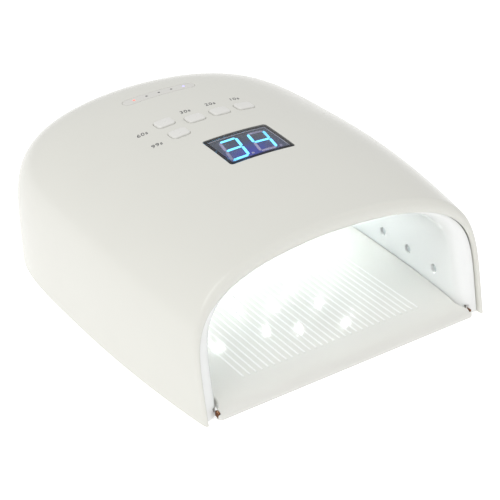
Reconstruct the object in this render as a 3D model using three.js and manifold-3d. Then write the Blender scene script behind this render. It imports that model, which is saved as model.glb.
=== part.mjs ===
// A cordless UV curing lamp, built piece by piece. Millimetres, +Z up.
// The origin is on the table, under the centre of the lamp, and the hand opening faces -Y.

import * as THREE from 'three';
import { mergeVertices } from 'three/addons/utils/BufferGeometryUtils.js';
import Module from 'manifold-3d';

const wasm = await Module();
wasm.setup();

// ---------------------------------------------------------------- driving dimensions

const DEPTH = 240;               // front feet to rear wall
const HALF_DEPTH = DEPTH / 2;
const FRONT_WIDTH = 190.6;       // across the two front legs
const MAX_WIDTH = 209;           // across the middle
const ROOF_HEIGHT = 96.5;        // roof over the middle
const FRONT_FALL = 11.3;         // how much lower the roof is at the hand opening
const LEAN = 0.226;              // how far the front edge leans back per unit of height
const SHOULDER_POWER = 5.4;      // the larger, the squarer the shoulders of the arch
const SHELL_BOTTOM = 1.2;        // the rubber feet hold the shell this far off the table
const INNER_BOTTOM = 1.5;        // underside of the liner, the bottom cover and the tray
const WALL = 2.8;                // shell wall
const LIP = { side: 2.6, top: 8.4, radius: 2.4, depth: 3 };   // front lip, thicker over the hand
const LINER_WALL = 2;
const MOUTH_DEPTH = 10;          // the liner flares out to the lip over this length
const GAP = 0.3;                 // between pieces that touch

const TRAY_TOP = 8;
const TRAY_ROLL = 7;             // radius of the tray's rounded front edge
const COVER_TOP = 4;

const WINDOW = { width: 43, depth: 30, y: -18.8, corner: 1.6, thickness: 2.2 };
const BUTTON = { width: 11.6, depth: 8.6, corner: 2.6, pitch: 17.2, y: 24, proud: 1, travel: 0.8 };
const STRIP = { length: 50, depth: 7.6, x: -6, y: 69, ledPitch: 8.7, thickness: 2 };
const BOARD = { width: 84, front: -42, rear: 88, bottom: 81.5, thickness: 1.6 };
const INLET = { z: 16, radius: 4.2 };

const WINDOW_RADIUS = 2.5;       // LED windows in the liner
const LED_RADIUS = 2.1;
const LED_BOARD_NEAR = 0.4;      // LED boards lie this far outside the liner
const LED_BOARD_FAR = 1.4;

// ---------------------------------------------------------------- arched surfaces

// A form is one arched surface of the lamp: straight-sided in plan towards the front,
// rounded off at the rear, with a crowned roof. Heights are above its own bottom.
const SHELL_OUTSIDE = {
  bottom: SHELL_BOTTOM,
  rear: HALF_DEPTH,
  half: MAX_WIDTH / 2,
  halfTaper: (MAX_WIDTH - FRONT_WIDTH) / 2,
  crown: ROOF_HEIGHT - SHELL_BOTTOM,
  crownFall: FRONT_FALL,
  planPower: 4,
  crownPower: 5.5,
};

const LINER_INSIDE = {
  bottom: INNER_BOTTOM,
  rear: 84,
  half: 89.5,
  halfTaper: 7.9,
  crown: 75.5,
  crownFall: 1.5,
  planPower: 3.2,
  crownPower: 4,
};

function inset(form, distance) {
  return {
    ...form,
    rear: form.rear - distance,
    half: form.half - distance,
    crown: form.crown - distance,
  };
}

// A form drawn in by one amount at its sides and another at its crown.
function drawnIn(form, side, top) {
  return { ...form, half: form.half - side, crown: form.crown - top };
}

const SHELL_INSIDE = inset(SHELL_OUTSIDE, WALL);
const LINER_OUTSIDE = inset(LINER_INSIDE, -LINER_WALL);

// Half width and crown height of a form at one station along the lamp.
function stationSize(form, y) {
  if (y > 0) {
    const along = y / form.rear;
    return {
      half: form.half * (1 - along ** form.planPower) ** (1 / form.planPower),
      crown: form.crown * (1 - along ** form.crownPower) ** (1 / form.crownPower),
    };
  }
  const along = (y / HALF_DEPTH) ** 2;
  return {
    half: form.half - form.halfTaper * along,
    crown: form.crown - form.crownFall * along,
  };
}

function leanAt(y) {
  return LEAN * (HALF_DEPTH - y) / DEPTH;
}

// A point of a form. The angle runs from 0 at the right base, over the roof, to PI.
function surfacePoint(form, y, angle) {
  const { half, crown } = stationSize(form, y);
  const side = Math.cos(angle);
  const rise = Math.abs(side) === 1 ? 0 : Math.sin(angle) ** (2 / SHOULDER_POWER);
  const height = crown * rise;
  return new THREE.Vector3(half * side, y + leanAt(y) * height, form.bottom + height);
}

// Zero on the form, positive outside it.
function formField(form, point) {
  const height = Math.max(point.z - form.bottom, 0);
  const y = (point.y - LEAN * height / 2) / (1 - LEAN * height / DEPTH);
  if (y >= form.rear) return 1;
  const { half, crown } = stationSize(form, y);
  return (point.x / half) ** 2 + (height / crown) ** SHOULDER_POWER - 1;
}

// The distance from a start point to the form, along a direction that leaves it.
function distanceToForm(form, start, direction, reach) {
  let near = 0;
  let far = reach;
  for (let i = 0; i < 40; i += 1) {
    const middle = (near + far) / 2;
    const point = start.clone().addScaledVector(direction, middle);
    if (formField(form, point) > 0) far = middle;
    else near = middle;
  }
  return near;
}

function roofHeight(form, x, y) {
  const start = new THREE.Vector3(x, y, 10);
  return 10 + distanceToForm(form, start, new THREE.Vector3(0, 0, 1), 110);
}

function wallReach(form, y, z) {
  return distanceToForm(form, new THREE.Vector3(0, y, z), new THREE.Vector3(1, 0, 0), 120);
}

function rearReach(form, x, z) {
  return distanceToForm(form, new THREE.Vector3(x, 0, z), new THREE.Vector3(0, 1, 0), 130);
}

function outwardNormal(form, point) {
  const step = 0.05;
  const slope = (axis) => {
    const ahead = point.clone();
    const behind = point.clone();
    ahead[axis] += step;
    behind[axis] -= step;
    return formField(form, ahead) - formField(form, behind);
  };
  return new THREE.Vector3(slope('x'), slope('y'), slope('z')).normalize();
}

// ---------------------------------------------------------------- grids of the surfaces

function spread(from, to, steps) {
  return Array.from({ length: steps + 1 }, (_, i) => from + (to - from) * i / steps);
}

class HalfArch extends THREE.Curve {
  getPoint(t) {
    return surfacePoint(SHELL_OUTSIDE, 0, t * Math.PI / 2);
  }
}

// Angles that cut the arch into steps of equal length, the same on both sides.
function evenAngles(stepsPerSide) {
  const curve = new HalfArch();
  curve.arcLengthDivisions = 2000;
  const right = spread(0, 1, stepsPerSide).map((u) => curve.getUtoTmapping(u) * Math.PI / 2);
  const left = right.slice(0, -1).reverse().map((angle) => Math.PI - angle);
  return [...right, ...left];
}

const ARCH_ANGLES = evenAngles(12);
const REAR_ANGLES = [88.5, 83, 75, 64, 51, 36, 18];

// Stations of a form from its rear end to a front limit.
function stationsOf(form, front) {
  const power = 2 / form.planPower;
  const rear = REAR_ANGLES.map((degrees) => {
    return form.rear * Math.sin(THREE.MathUtils.degToRad(degrees)) ** power;
  });
  return [...rear, ...spread(0, front, 4)];
}

function arch(form, y) {
  return ARCH_ANGLES.map((angle) => surfacePoint(form, y, angle));
}

function archesOf(form, front) {
  return stationsOf(form, front).map((y) => arch(form, y));
}

// ---------------------------------------------------------------- solids

function geometryFrom(points, faces) {
  const geometry = new THREE.BufferGeometry();
  const numbers = points.flatMap((p) => [p.x, p.y, p.z]);
  geometry.setAttribute('position', new THREE.Float32BufferAttribute(numbers, 3));
  geometry.setIndex(faces.flat());
  return geometry;
}

function solid(geometry) {
  const bare = geometry.clone();
  bare.deleteAttribute('normal');
  bare.deleteAttribute('uv');
  const merged = mergeVertices(bare, 1e-4);
  return new wasm.Manifold(new wasm.Mesh({
    numProp: 3,
    vertProperties: merged.attributes.position.array,
    triVerts: new Uint32Array(merged.index.array),
  }));
}

function geometryOf(body) {
  const mesh = body.getMesh();
  const geometry = new THREE.BufferGeometry();
  const positions = new Float32Array(mesh.vertProperties);
  geometry.setAttribute('position', new THREE.BufferAttribute(positions, 3));
  geometry.setIndex(Array.from(mesh.triVerts));
  return geometry;
}

// Triangles of a flat outline, turned so that they face along the wanted direction.
function flatFaces(points, indices, flatten, facing) {
  const outline = points.map(flatten);
  const triangles = THREE.ShapeUtils.triangulateShape(outline, []);
  return triangles.map(([a, b, c]) => {
    const ab = points[b].clone().sub(points[a]);
    const ac = points[c].clone().sub(points[a]);
    const rightWay = ab.cross(ac).dot(facing) > 0;
    const face = [indices[a], indices[b], indices[c]];
    return rightWay ? face : face.reverse();
  });
}

// A closed body from a row of arches, the first one at the rear: skins between neighbours,
// a flat end on the first and the last, and a flat underside.
function archSolid(rings, lastFacing) {
  const count = rings[0].length;
  const points = rings.flat();
  const faces = [];
  for (let ring = 0; ring + 1 < rings.length; ring += 1) {
    for (let step = 0; step + 1 < count; step += 1) {
      const a = ring * count + step;
      const b = a + count;
      faces.push([a, a + 1, b], [a + 1, b + 1, b]);
    }
  }
  const endFaces = (ring, facing) => {
    const indices = rings[ring].map((_, step) => ring * count + step);
    const direction = new THREE.Vector3(0, facing, 0);
    return flatFaces(rings[ring], indices, (p) => new THREE.Vector2(p.x, p.z), direction);
  };
  faces.push(...endFaces(0, 1), ...endFaces(rings.length - 1, lastFacing));
  const right = rings.map((_, ring) => ring * count);
  const left = rings.map((_, ring) => ring * count + count - 1).reverse();
  const around = [...right, ...left];
  const corners = around.map((index) => points[index]);
  const down = new THREE.Vector3(0, 0, -1);
  faces.push(...flatFaces(corners, around, (p) => new THREE.Vector2(p.x, p.y), down));
  return solid(geometryFrom(points, faces));
}

function dome(form, front = -HALF_DEPTH) {
  return archSolid(archesOf(form, front), -1);
}

// A thin closed sheet between two grids of points: rows of equal length, far side first.
function sheet(farRows, nearRows) {
  const columns = farRows[0].length;
  const rows = farRows.length;
  const points = [...farRows.flat(), ...nearRows.flat()];
  const near = rows * columns;
  const faces = [];
  const quad = (a, b, c, d) => faces.push([a, c, b], [a, d, c]);
  for (let r = 0; r + 1 < rows; r += 1) {
    for (let c = 0; c + 1 < columns; c += 1) {
      const a = r * columns + c;
      quad(a, a + 1, a + columns + 1, a + columns);
      quad(near + a, near + a + columns, near + a + columns + 1, near + a + 1);
    }
  }
  const edge = [];
  for (let c = 0; c < columns; c += 1) edge.push(c);
  for (let r = 1; r < rows; r += 1) edge.push(r * columns + columns - 1);
  for (let c = columns - 2; c >= 0; c -= 1) edge.push((rows - 1) * columns + c);
  for (let r = rows - 2; r > 0; r -= 1) edge.push(r * columns);
  edge.forEach((a, i) => {
    const b = edge[(i + 1) % edge.length];
    quad(b, a, near + a, near + b);
  });
  return solid(geometryFrom(points, faces));
}

function box(x0, x1, y0, y1, z0, z1) {
  const geometry = new THREE.BoxGeometry(x1 - x0, y1 - y0, z1 - z0);
  geometry.translate((x0 + x1) / 2, (y0 + y1) / 2, (z0 + z1) / 2);
  return solid(geometry);
}

// A round bar from one point to another.
function bar(from, to, radius, sides = 16, endRadius = radius) {
  const along = to.clone().sub(from);
  const geometry = new THREE.CylinderGeometry(endRadius, radius, along.length(), sides);
  geometry.translate(0, along.length() / 2, 0);
  const up = new THREE.Vector3(0, 1, 0);
  geometry.applyQuaternion(new THREE.Quaternion().setFromUnitVectors(up, along.normalize()));
  geometry.translate(from.x, from.y, from.z);
  return solid(geometry);
}

function column(x, y, z0, z1, radius, sides = 16) {
  return bar(new THREE.Vector3(x, y, z0), new THREE.Vector3(x, y, z1), radius, sides);
}

function slab(shape, z0, z1, curveSegments = 3) {
  const options = { depth: z1 - z0, bevelEnabled: false, curveSegments };
  return solid(new THREE.ExtrudeGeometry(shape, options).translate(0, 0, z0));
}

function roundedRectangle(x, y, width, depth, corner) {
  const shape = new THREE.Shape();
  const right = x + width / 2 - corner;
  const left = x - width / 2 + corner;
  const back = y + depth / 2 - corner;
  const front = y - depth / 2 + corner;
  shape.absarc(right, back, corner, 0, Math.PI / 2);
  shape.absarc(left, back, corner, Math.PI / 2, Math.PI);
  shape.absarc(left, front, corner, Math.PI, 1.5 * Math.PI);
  shape.absarc(right, front, corner, 1.5 * Math.PI, 2 * Math.PI);
  return shape;
}

// The outline of a form at its base, closed straight across at a front limit.
function planShape(form, front) {
  const right = stationsOf(form, front).map((y) => [stationSize(form, y).half, y]);
  const left = right.map(([x, y]) => [-x, y]).reverse();
  return new THREE.Shape([...left, ...right].map(([x, y]) => new THREE.Vector2(x, y)));
}

// ---------------------------------------------------------------- materials and nodes

const COLOURS = {
  shell: [0xe6e5e0, 0.22, 0],
  liner: [0xf2f4f2, 0.15, 0],
  tray: [0xecebe4, 0.18, 0],
  button: [0xeceae5, 0.3, 0],
  cover: [0xdcdbd6, 0.5, 0],
  tintedWindow: [0x20242e, 0.08, 0],
  display: [0x2c3038, 0.4, 0],
  strip: [0xeeeeea, 0.3, 0],
  board: [0xdfe3dd, 0.5, 0],
  greenBoard: [0x1f5b38, 0.5, 0],
  switchBody: [0x202022, 0.5, 0],
  chip: [0xf2e8b0, 0.3, 0],
  battery: [0x2f6fb0, 0.4, 0],
  holder: [0x222326, 0.6, 0],
  inlet: [0x1a1a1c, 0.4, 0],
  steel: [0x9a9da0, 0.35, 1],
  keeper: [0x7a4a2c, 0.6, 1],
  magnet: [0x8f9194, 0.3, 1],
  rubber: [0x4a4b4d, 0.9, 0],
};

const lamp = new THREE.Group();

function addNode(name, body, colour) {
  const [color, roughness, metalness] = COLOURS[colour];
  const material = new THREE.MeshStandardMaterial({ color, roughness, metalness });
  const mesh = new THREE.Mesh(geometryOf(body), material);
  mesh.name = name;
  lamp.add(mesh);
}

// The same piece on both sides: build(side) is given +1 for the right and -1 for the left.
function addPair(name, build, colour) {
  addNode(`${name}_right`, build(1), colour);
  addNode(`${name}_left`, build(-1), colour);
}

// ---------------------------------------------------------------- places shared by pieces

const FRONT = -HALF_DEPTH;
const buttonPlaces = [
  { name: 'rear_left', x: -1.5 * BUTTON.pitch, y: BUTTON.y + 6 },
  { name: 'front_left', x: -1.5 * BUTTON.pitch, y: BUTTON.y - 10.4 },
  { name: 'centre_left', x: -0.5 * BUTTON.pitch, y: BUTTON.y },
  { name: 'centre_right', x: 0.5 * BUTTON.pitch, y: BUTTON.y },
  { name: 'right', x: 1.5 * BUTTON.pitch, y: BUTTON.y },
];
const indicatorPlaces = [-2, -1, 0, 1, 2].map((i) => STRIP.x + i * STRIP.ledPitch);

const boardScrewPlaces = [[-38, -37], [38, -37], [-38, 62], [38, 62]];
const sideScrewStations = [-62, 22];
const rearScrew = { x: 45, y: 101 };
const SCREW = { shaft: 1.3, hole: 1.7, head: 2.6, headHeight: 1.5, length: 9 };

// The centre line of the bottom cover's side strips.
function coverMiddle(y) {
  const outer = stationSize(SHELL_INSIDE, y).half;
  const inner = stationSize(LINER_OUTSIDE, y).half;
  return (outer + inner) / 2;
}

const coverScrewPlaces = [1, -1].flatMap((side) => [
  ...sideScrewStations.map((y) => [side * coverMiddle(y), y]),
  [side * rearScrew.x, rearScrew.y],
]);

// LEDs over the hand: three bowed rows in the roof and shoulders, mirrored.
const roofLeds = [[32, 8], [49, -4], [31, 41], [51, 27]];
const shoulderLeds = [[70, -26], [71, 4], [68, 32]];
const middleLeds = [[0, 14], [0, 47]];
const wallLeds = [-86, -60, -35, -12, 10, 31];
const WALL_LED_HEIGHT = 17.5;
const rearLeds = [-40, -15, 15, 40];

// An LED's place on the liner's inner surface and the direction out through the wall.
function ledOnRoof(x, y) {
  const point = new THREE.Vector3(x, y, roofHeight(LINER_INSIDE, x, y));
  return { point, normal: outwardNormal(LINER_INSIDE, point) };
}

function ledOnWall(side, y) {
  const x = side * wallReach(LINER_INSIDE, y, WALL_LED_HEIGHT);
  const point = new THREE.Vector3(x, y, WALL_LED_HEIGHT);
  return { point, normal: outwardNormal(LINER_INSIDE, point) };
}

function ledOnRear(x) {
  const z = WALL_LED_HEIGHT + 6.5;
  const point = new THREE.Vector3(x, rearReach(LINER_INSIDE, x, z), z);
  return { point, normal: new THREE.Vector3(0, 1, 0) };
}

function sideLedsOf(side) {
  const shoulders = shoulderLeds.map(([x, y]) => ledOnRoof(side * x, y));
  return [...shoulders, ...wallLeds.map((y) => ledOnWall(side, y))];
}

const roofLedList = [
  ...middleLeds.map(([x, y]) => ledOnRoof(x, y)),
  ...roofLeds.flatMap(([x, y]) => [ledOnRoof(x, y), ledOnRoof(-x, y)]),
];
const rearLedList = rearLeds.map((x) => ledOnRear(x));

function ledBar(led, from, to, radius, sides) {
  const start = led.point.clone().addScaledVector(led.normal, from);
  const end = led.point.clone().addScaledVector(led.normal, to);
  return bar(start, end, radius, sides);
}

const SENSOR = { x: 0, y: -62, radius: 3 };
const MAGNET = { radius: 1.8, length: 2.4, z: 3.9 };
const MOUTH_MAGNET = { x: 87.6, y: FRONT + 7.4, top: 6 };

// ---------------------------------------------------------------- outer shell

function lipForm(share) {
  return drawnIn(SHELL_OUTSIDE, LIP.side * share, LIP.top * share);
}

function shellRings() {
  const radius = LIP.radius;
  const bend = spread(0, Math.PI, 5).map((turn) => {
    return arch(lipForm((1 - Math.cos(turn)) / 2), FRONT + radius - radius * Math.sin(turn));
  });
  const lipEnd = arch(lipForm(1), FRONT + LIP.depth);
  const outside = archesOf(SHELL_OUTSIDE, FRONT + 2 * radius);
  const inside = archesOf(SHELL_INSIDE, FRONT + LIP.depth + 2).reverse();
  return [...outside, ...bend, lipEnd, ...inside];
}

function shellBosses() {
  const core = dome(inset(SHELL_OUTSIDE, 1.2));
  let bosses = null;
  const keep = (body) => {
    bosses = bosses ? bosses.add(body) : body;
  };
  const boardTop = BOARD.bottom + BOARD.thickness;
  for (const [x, y] of boardScrewPlaces) {
    keep(column(x, y, boardTop + GAP, ROOF_HEIGHT, 3.2, 10).subtract(
      column(x, y, boardTop, boardTop + 6, SCREW.hole, 6)));
  }
  for (const [x, y] of coverScrewPlaces) {
    const side = Math.sign(x);
    const atRear = y === rearScrew.y;
    const block = atRear
      ? box(x - 4, x + 4, y - 4, HALF_DEPTH, COVER_TOP + GAP, 14)
      : box(Math.min(x - 2.8 * side, 110 * side), Math.max(x - 2.8 * side, 110 * side),
        y - 3.5, y + 3.5, COVER_TOP + GAP, 11.5);
    keep(block.subtract(column(x, y, COVER_TOP, 11, SCREW.hole, 6)));
  }
  return bosses.intersect(core);
}

function outerShell() {
  let shell = archSolid(shellRings(), -1).add(shellBosses());
  const cut = (shape, bottom = 80) => {
    shell = shell.subtract(slab(shape, bottom, ROOF_HEIGHT + 10));
  };
  cut(roundedRectangle(0, WINDOW.y, WINDOW.width + 2 * GAP, WINDOW.depth + 2 * GAP, WINDOW.corner));
  for (const { x, y } of buttonPlaces) {
    cut(roundedRectangle(x, y, BUTTON.width + 2 * GAP, BUTTON.depth + 2 * GAP, BUTTON.corner));
  }
  const stripLength = STRIP.length + 2 * GAP;
  const stripDepth = STRIP.depth + 2 * GAP;
  cut(roundedRectangle(STRIP.x, STRIP.y, stripLength, stripDepth, stripDepth / 2 - 0.01));
  const inletHole = bar(
    new THREE.Vector3(0, HALF_DEPTH - 8, INLET.z),
    new THREE.Vector3(0, HALF_DEPTH + 5, INLET.z), INLET.radius + GAP, 20);
  return shell.subtract(inletHole);
}

addNode('outer_shell', outerShell(), 'shell');

// ---------------------------------------------------------------- reflector liner

// The liner's mouth: a form that goes from the lip's inner edge (share 1) to the liner (0).
function mouthForm(share) {
  const edge = drawnIn(SHELL_OUTSIDE, LIP.side + 2 * GAP, LIP.top + 2 * GAP);
  const blend = (key) => LINER_INSIDE[key] + (edge[key] - LINER_INSIDE[key]) * share;
  return {
    ...LINER_INSIDE,
    half: blend('half'),
    halfTaper: blend('halfTaper'),
    crown: blend('crown'),
    crownFall: blend('crownFall'),
  };
}

function linerRings() {
  const start = FRONT + LIP.depth + GAP;
  const flare = spread(0, Math.PI / 2, 4).map((turn) => {
    return arch(mouthForm(1 - Math.sin(turn)), start + MOUTH_DEPTH * (1 - Math.cos(turn)));
  });
  return [
    ...archesOf(LINER_OUTSIDE, FRONT + 18),
    arch(inset(mouthForm(1), -GAP / 3), start + 1),
    ...flare,
    ...archesOf(LINER_INSIDE, start + MOUTH_DEPTH + 4).reverse(),
  ];
}

function reflectorLiner() {
  let liner = archSolid(linerRings(), -1);
  const leds = [...sideLedsOf(1), ...sideLedsOf(-1), ...roofLedList, ...rearLedList];
  for (const led of leds) {
    liner = liner.subtract(ledBar(led, -3, 5, WINDOW_RADIUS, 8));
  }
  for (const side of [1, -1]) {
    liner = liner.subtract(column(side * MOUTH_MAGNET.x, MOUTH_MAGNET.y, 0,
      MOUTH_MAGNET.top + GAP, MAGNET.radius + GAP, 12));
  }
  const sensorHole = column(SENSOR.x, SENSOR.y, 70, 90, SENSOR.radius + GAP, 14);
  return liner.subtract(sensorHole);
}

addNode('reflector_liner', reflectorLiner(), 'liner');

// ---------------------------------------------------------------- bottom cover and feet

const COVER_FRONT = FRONT + 19;

const roundFoot = { x: 62, y: 98, radius: 6 };
const stripFoot = { y: -92, width: 3.4, length: 16 };

function bottomCover() {
  const outline = inset(SHELL_INSIDE, GAP);
  let cover = slab(planShape(outline, COVER_FRONT), INNER_BOTTOM, COVER_TOP);
  const opening = inset(LINER_OUTSIDE, -2 * GAP);
  cover = cover.subtract(slab(planShape(opening, FRONT), 0, 10));
  for (const [x, y] of coverScrewPlaces) {
    cover = cover.subtract(column(x, y, 0, 10, SCREW.hole, 6));
    cover = cover.subtract(column(x, y, 0, INNER_BOTTOM + 1, SCREW.head + GAP, 10));
  }
  return cover;
}

addNode('bottom_cover', bottomCover(), 'cover');

addPair('rear_foot', (side) => {
  return column(side * roundFoot.x, roundFoot.y, 0, INNER_BOTTOM - GAP, roundFoot.radius, 24);
}, 'rubber');

addPair('front_foot', (side) => {
  const x = side * coverMiddle(stripFoot.y);
  const shape = roundedRectangle(x, stripFoot.y, stripFoot.width, stripFoot.length, 1.5);
  return slab(shape, 0, INNER_BOTTOM - GAP);
}, 'rubber');

function screw(x, y, headBottom) {
  const head = column(x, y, headBottom, headBottom + SCREW.headHeight, SCREW.head, 10);
  const shaft = column(x, y, headBottom + 0.5, headBottom + SCREW.length, SCREW.shaft, 6);
  const slot = box(x - 1.5, x + 1.5, y - 0.4, y + 0.4, headBottom - 1, headBottom + 0.5);
  const cross = box(x - 0.4, x + 0.4, y - 1.5, y + 1.5, headBottom - 1, headBottom + 0.5);
  return head.add(shaft).subtract(slot).subtract(cross);
}

coverScrewPlaces.forEach(([x, y], i) => {
  const clearOfBoss = INNER_BOTTOM + 1 - GAP - SCREW.headHeight;
  addNode(`cover_screw_${i + 1}`, screw(x, y, clearOfBoss), 'steel');
});

// ---------------------------------------------------------------- removable base tray

const TRAY_PLAN = inset(LINER_INSIDE, 0.6);
const TRAY_CORNER = 87;          // half width of the tray across its front corners
const KEEPER = { thickness: 1.2, front: FRONT + 1.7, rear: FRONT + 4.7, bottom: 2.2, top: 5.3 };
const rearMagnetX = 34;

// Half outline of the tray: it follows the liner, then swells into the mouth and rounds off.
function trayShape() {
  const follow = stationsOf(TRAY_PLAN, FRONT + 11).map((y) => [stationSize(TRAY_PLAN, y).half, y]);
  const corner = [
    [TRAY_CORNER - 3.6, FRONT + 8],
    [TRAY_CORNER - 2.1, FRONT + 6],
    [TRAY_CORNER - 0.7, FRONT + 4.6],
    [TRAY_CORNER, FRONT + 3.6],
    [TRAY_CORNER, FRONT + 1.8],
    [TRAY_CORNER - 0.6, FRONT + 0.6],
    [TRAY_CORNER - 2, FRONT],
  ];
  const right = [...follow, ...corner];
  const left = right.map(([x, y]) => [-x, y]).reverse();
  return new THREE.Shape([...left, ...right].map(([x, y]) => new THREE.Vector2(x, y)));
}

function traySideProfile() {
  const shape = new THREE.Shape();
  const rollCentre = FRONT + TRAY_ROLL;
  const rollTop = TRAY_TOP - 1;
  shape.moveTo(HALF_DEPTH, INNER_BOTTOM);
  shape.lineTo(HALF_DEPTH, TRAY_TOP);
  shape.lineTo(FRONT + 26, TRAY_TOP);
  shape.quadraticCurveTo(FRONT + 15, TRAY_TOP, rollCentre + 1.5, rollTop);
  shape.quadraticCurveTo(FRONT + 0.4, rollTop - 1.4, FRONT, INNER_BOTTOM + 0.4);
  shape.lineTo(FRONT + 0.4, INNER_BOTTOM);
  return shape;
}

function baseTray() {
  let tray = slab(trayShape(), INNER_BOTTOM, TRAY_TOP);
  const options = { depth: MAX_WIDTH, bevelEnabled: false, curveSegments: 6 };
  const across = new THREE.ExtrudeGeometry(traySideProfile(), options);
  const toLampAxes = new THREE.Matrix4().makeBasis(
    new THREE.Vector3(0, 1, 0), new THREE.Vector3(0, 0, 1), new THREE.Vector3(1, 0, 0));
  across.applyMatrix4(toLampAxes).translate(-MAX_WIDTH / 2, 0, 0);
  tray = tray.intersect(solid(across));
  for (const side of [1, -1]) {
    const deep = side * (TRAY_CORNER - KEEPER.thickness - 2 * GAP);
    const open = side * (TRAY_CORNER + 4);
    tray = tray.subtract(box(Math.min(deep, open), Math.max(deep, open),
      KEEPER.front - GAP, KEEPER.rear + GAP, KEEPER.bottom - GAP, 20));
    const rearEdge = rearReach(TRAY_PLAN, side * rearMagnetX, MAGNET.z);
    const rearMouth = new THREE.Vector3(side * rearMagnetX, rearEdge + 1, MAGNET.z);
    const rearEnd = new THREE.Vector3(side * rearMagnetX, rearEdge - MAGNET.length - 0.8, MAGNET.z);
    tray = tray.subtract(bar(rearEnd, rearMouth, MAGNET.radius + GAP, 12));
  }
  for (const x of [-58, 0, 58]) {
    for (const y of [-66, 0]) {
      const pocket = roundedRectangle(x, y, 52, 58, 4);
      tray = tray.subtract(slab(pocket, 0, TRAY_TOP - 3, 2));
    }
  }
  return tray;
}

addNode('base_tray', baseTray(), 'tray');

addPair('mouth_magnet', (side) => {
  return column(side * MOUTH_MAGNET.x, MOUTH_MAGNET.y, INNER_BOTTOM + GAP, MOUTH_MAGNET.top,
    MAGNET.radius, 12);
}, 'magnet');

addPair('tray_magnet_rear', (side) => {
  const edge = rearReach(TRAY_PLAN, side * rearMagnetX, MAGNET.z);
  const outer = new THREE.Vector3(side * rearMagnetX, edge - 0.8, MAGNET.z);
  const inner = new THREE.Vector3(side * rearMagnetX, edge - MAGNET.length - 0.5, MAGNET.z);
  return bar(inner, outer, MAGNET.radius, 12);
}, 'magnet');

addPair('keeper_front', (side) => {
  const outer = side * (TRAY_CORNER - GAP);
  const inner = outer - side * KEEPER.thickness;
  return box(Math.min(inner, outer), Math.max(inner, outer),
    KEEPER.front, KEEPER.rear, KEEPER.bottom, KEEPER.top);
}, 'keeper');

addPair('keeper_rear', (side) => {
  const y = LINER_OUTSIDE.rear + GAP;
  const x = side * rearMagnetX;
  return box(x - 5, x + 5, y, y + KEEPER.thickness, COVER_TOP + 2 * GAP, 11);
}, 'keeper');

const trayPads = [[-66, -101], [66, -101], [-44, 62], [44, 62]];

trayPads.forEach(([x, y], i) => {
  addNode(`tray_pad_${i + 1}`, column(x, y, 0, INNER_BOTTOM - GAP, 5, 20), 'rubber');
});

// ---------------------------------------------------------------- display, buttons, indicator

// A piece of the roof itself: the shape cut out of a skin of the given thickness.
function roofPatch(shape, thickness) {
  const skin = dome(SHELL_OUTSIDE).subtract(dome(inset(SHELL_OUTSIDE, thickness)));
  return slab(shape, 80, ROOF_HEIGHT + 5, 4).intersect(skin);
}

addNode('display_window', roofPatch(
  roundedRectangle(0, WINDOW.y, WINDOW.width, WINDOW.depth, WINDOW.corner),
  WINDOW.thickness), 'tintedWindow');

const boardTop = BOARD.bottom + BOARD.thickness;
const MODULE = { width: 38, depth: 25.4 };

function displayModule() {
  const front = WINDOW.y - MODULE.depth / 2;
  const rear = WINDOW.y + MODULE.depth / 2;
  const half = MODULE.width / 2;
  const top = roofHeight(inset(SHELL_OUTSIDE, WINDOW.thickness), half, front) - 2 * GAP;
  return box(-half, half, front, rear, boardTop + GAP, top);
}

addNode('display_module', displayModule(), 'display');

const SWITCH_TOP = boardTop + GAP + 3.4;

function button({ x, y }) {
  const shape = roundedRectangle(x, y, BUTTON.width, BUTTON.depth, BUTTON.corner - GAP);
  const raised = inset(SHELL_OUTSIDE, -BUTTON.proud);
  const edge = 1.6;
  const cornerHeights = [-1, 1].flatMap((i) => [-1, 1].map((j) => {
    return roofHeight(SHELL_INSIDE, x + i * (BUTTON.width / 2 + edge),
      y + j * (BUTTON.depth / 2 + edge));
  }));
  const flangeTop = Math.min(...cornerHeights) - 2 * GAP;
  const flange = roundedRectangle(x, y, BUTTON.width + 2 * edge, BUTTON.depth + 2 * edge, 2);
  const cap = slab(shape, flangeTop - 1, ROOF_HEIGHT + 5).intersect(dome(raised));
  const stem = column(x, y, SWITCH_TOP + BUTTON.travel + GAP, flangeTop - 0.5, 1.8, 8);
  return cap.add(slab(flange, flangeTop - 1.2, flangeTop)).add(stem);
}

function tactSwitch({ x, y }) {
  const body = box(x - 3, x + 3, y - 3, y + 3, boardTop + GAP, SWITCH_TOP - 0.9);
  return body.add(column(x, y, SWITCH_TOP - 1.5, SWITCH_TOP, 1.6, 8));
}

for (const place of buttonPlaces) {
  addNode(`button_${place.name}`, button(place), 'button');
  addNode(`tact_switch_${place.name}`, tactSwitch(place), 'switchBody');
}

function indicatorStrip() {
  const round = STRIP.depth / 2 - 0.01;
  const shape = roundedRectangle(STRIP.x, STRIP.y, STRIP.length, STRIP.depth, round);
  let strip = roofPatch(shape, STRIP.thickness);
  for (const x of indicatorPlaces) {
    const into = roofHeight(SHELL_INSIDE, x, STRIP.y) + 1.4;
    strip = strip.add(column(x, STRIP.y, boardTop + 2.2, into, 1.5, 8));
  }
  return strip;
}

addNode('indicator_strip', indicatorStrip(), 'strip');

indicatorPlaces.forEach((x, i) => {
  const led = box(x - 1.6, x + 1.6, STRIP.y - 1.2, STRIP.y + 1.2, boardTop + GAP, boardTop + 1.6);
  addNode(`indicator_led_${i + 1}`, led, 'chip');
});

function controlBoard() {
  const middle = (BOARD.front + BOARD.rear) / 2;
  const shape = roundedRectangle(0, middle, BOARD.width, BOARD.rear - BOARD.front, 4);
  let board = slab(shape, BOARD.bottom, boardTop, 2);
  for (const [x, y] of boardScrewPlaces) {
    board = board.subtract(column(x, y, BOARD.bottom - 1, boardTop + 1, SCREW.hole, 8));
  }
  return board;
}

addNode('control_board', controlBoard(), 'greenBoard');

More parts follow.
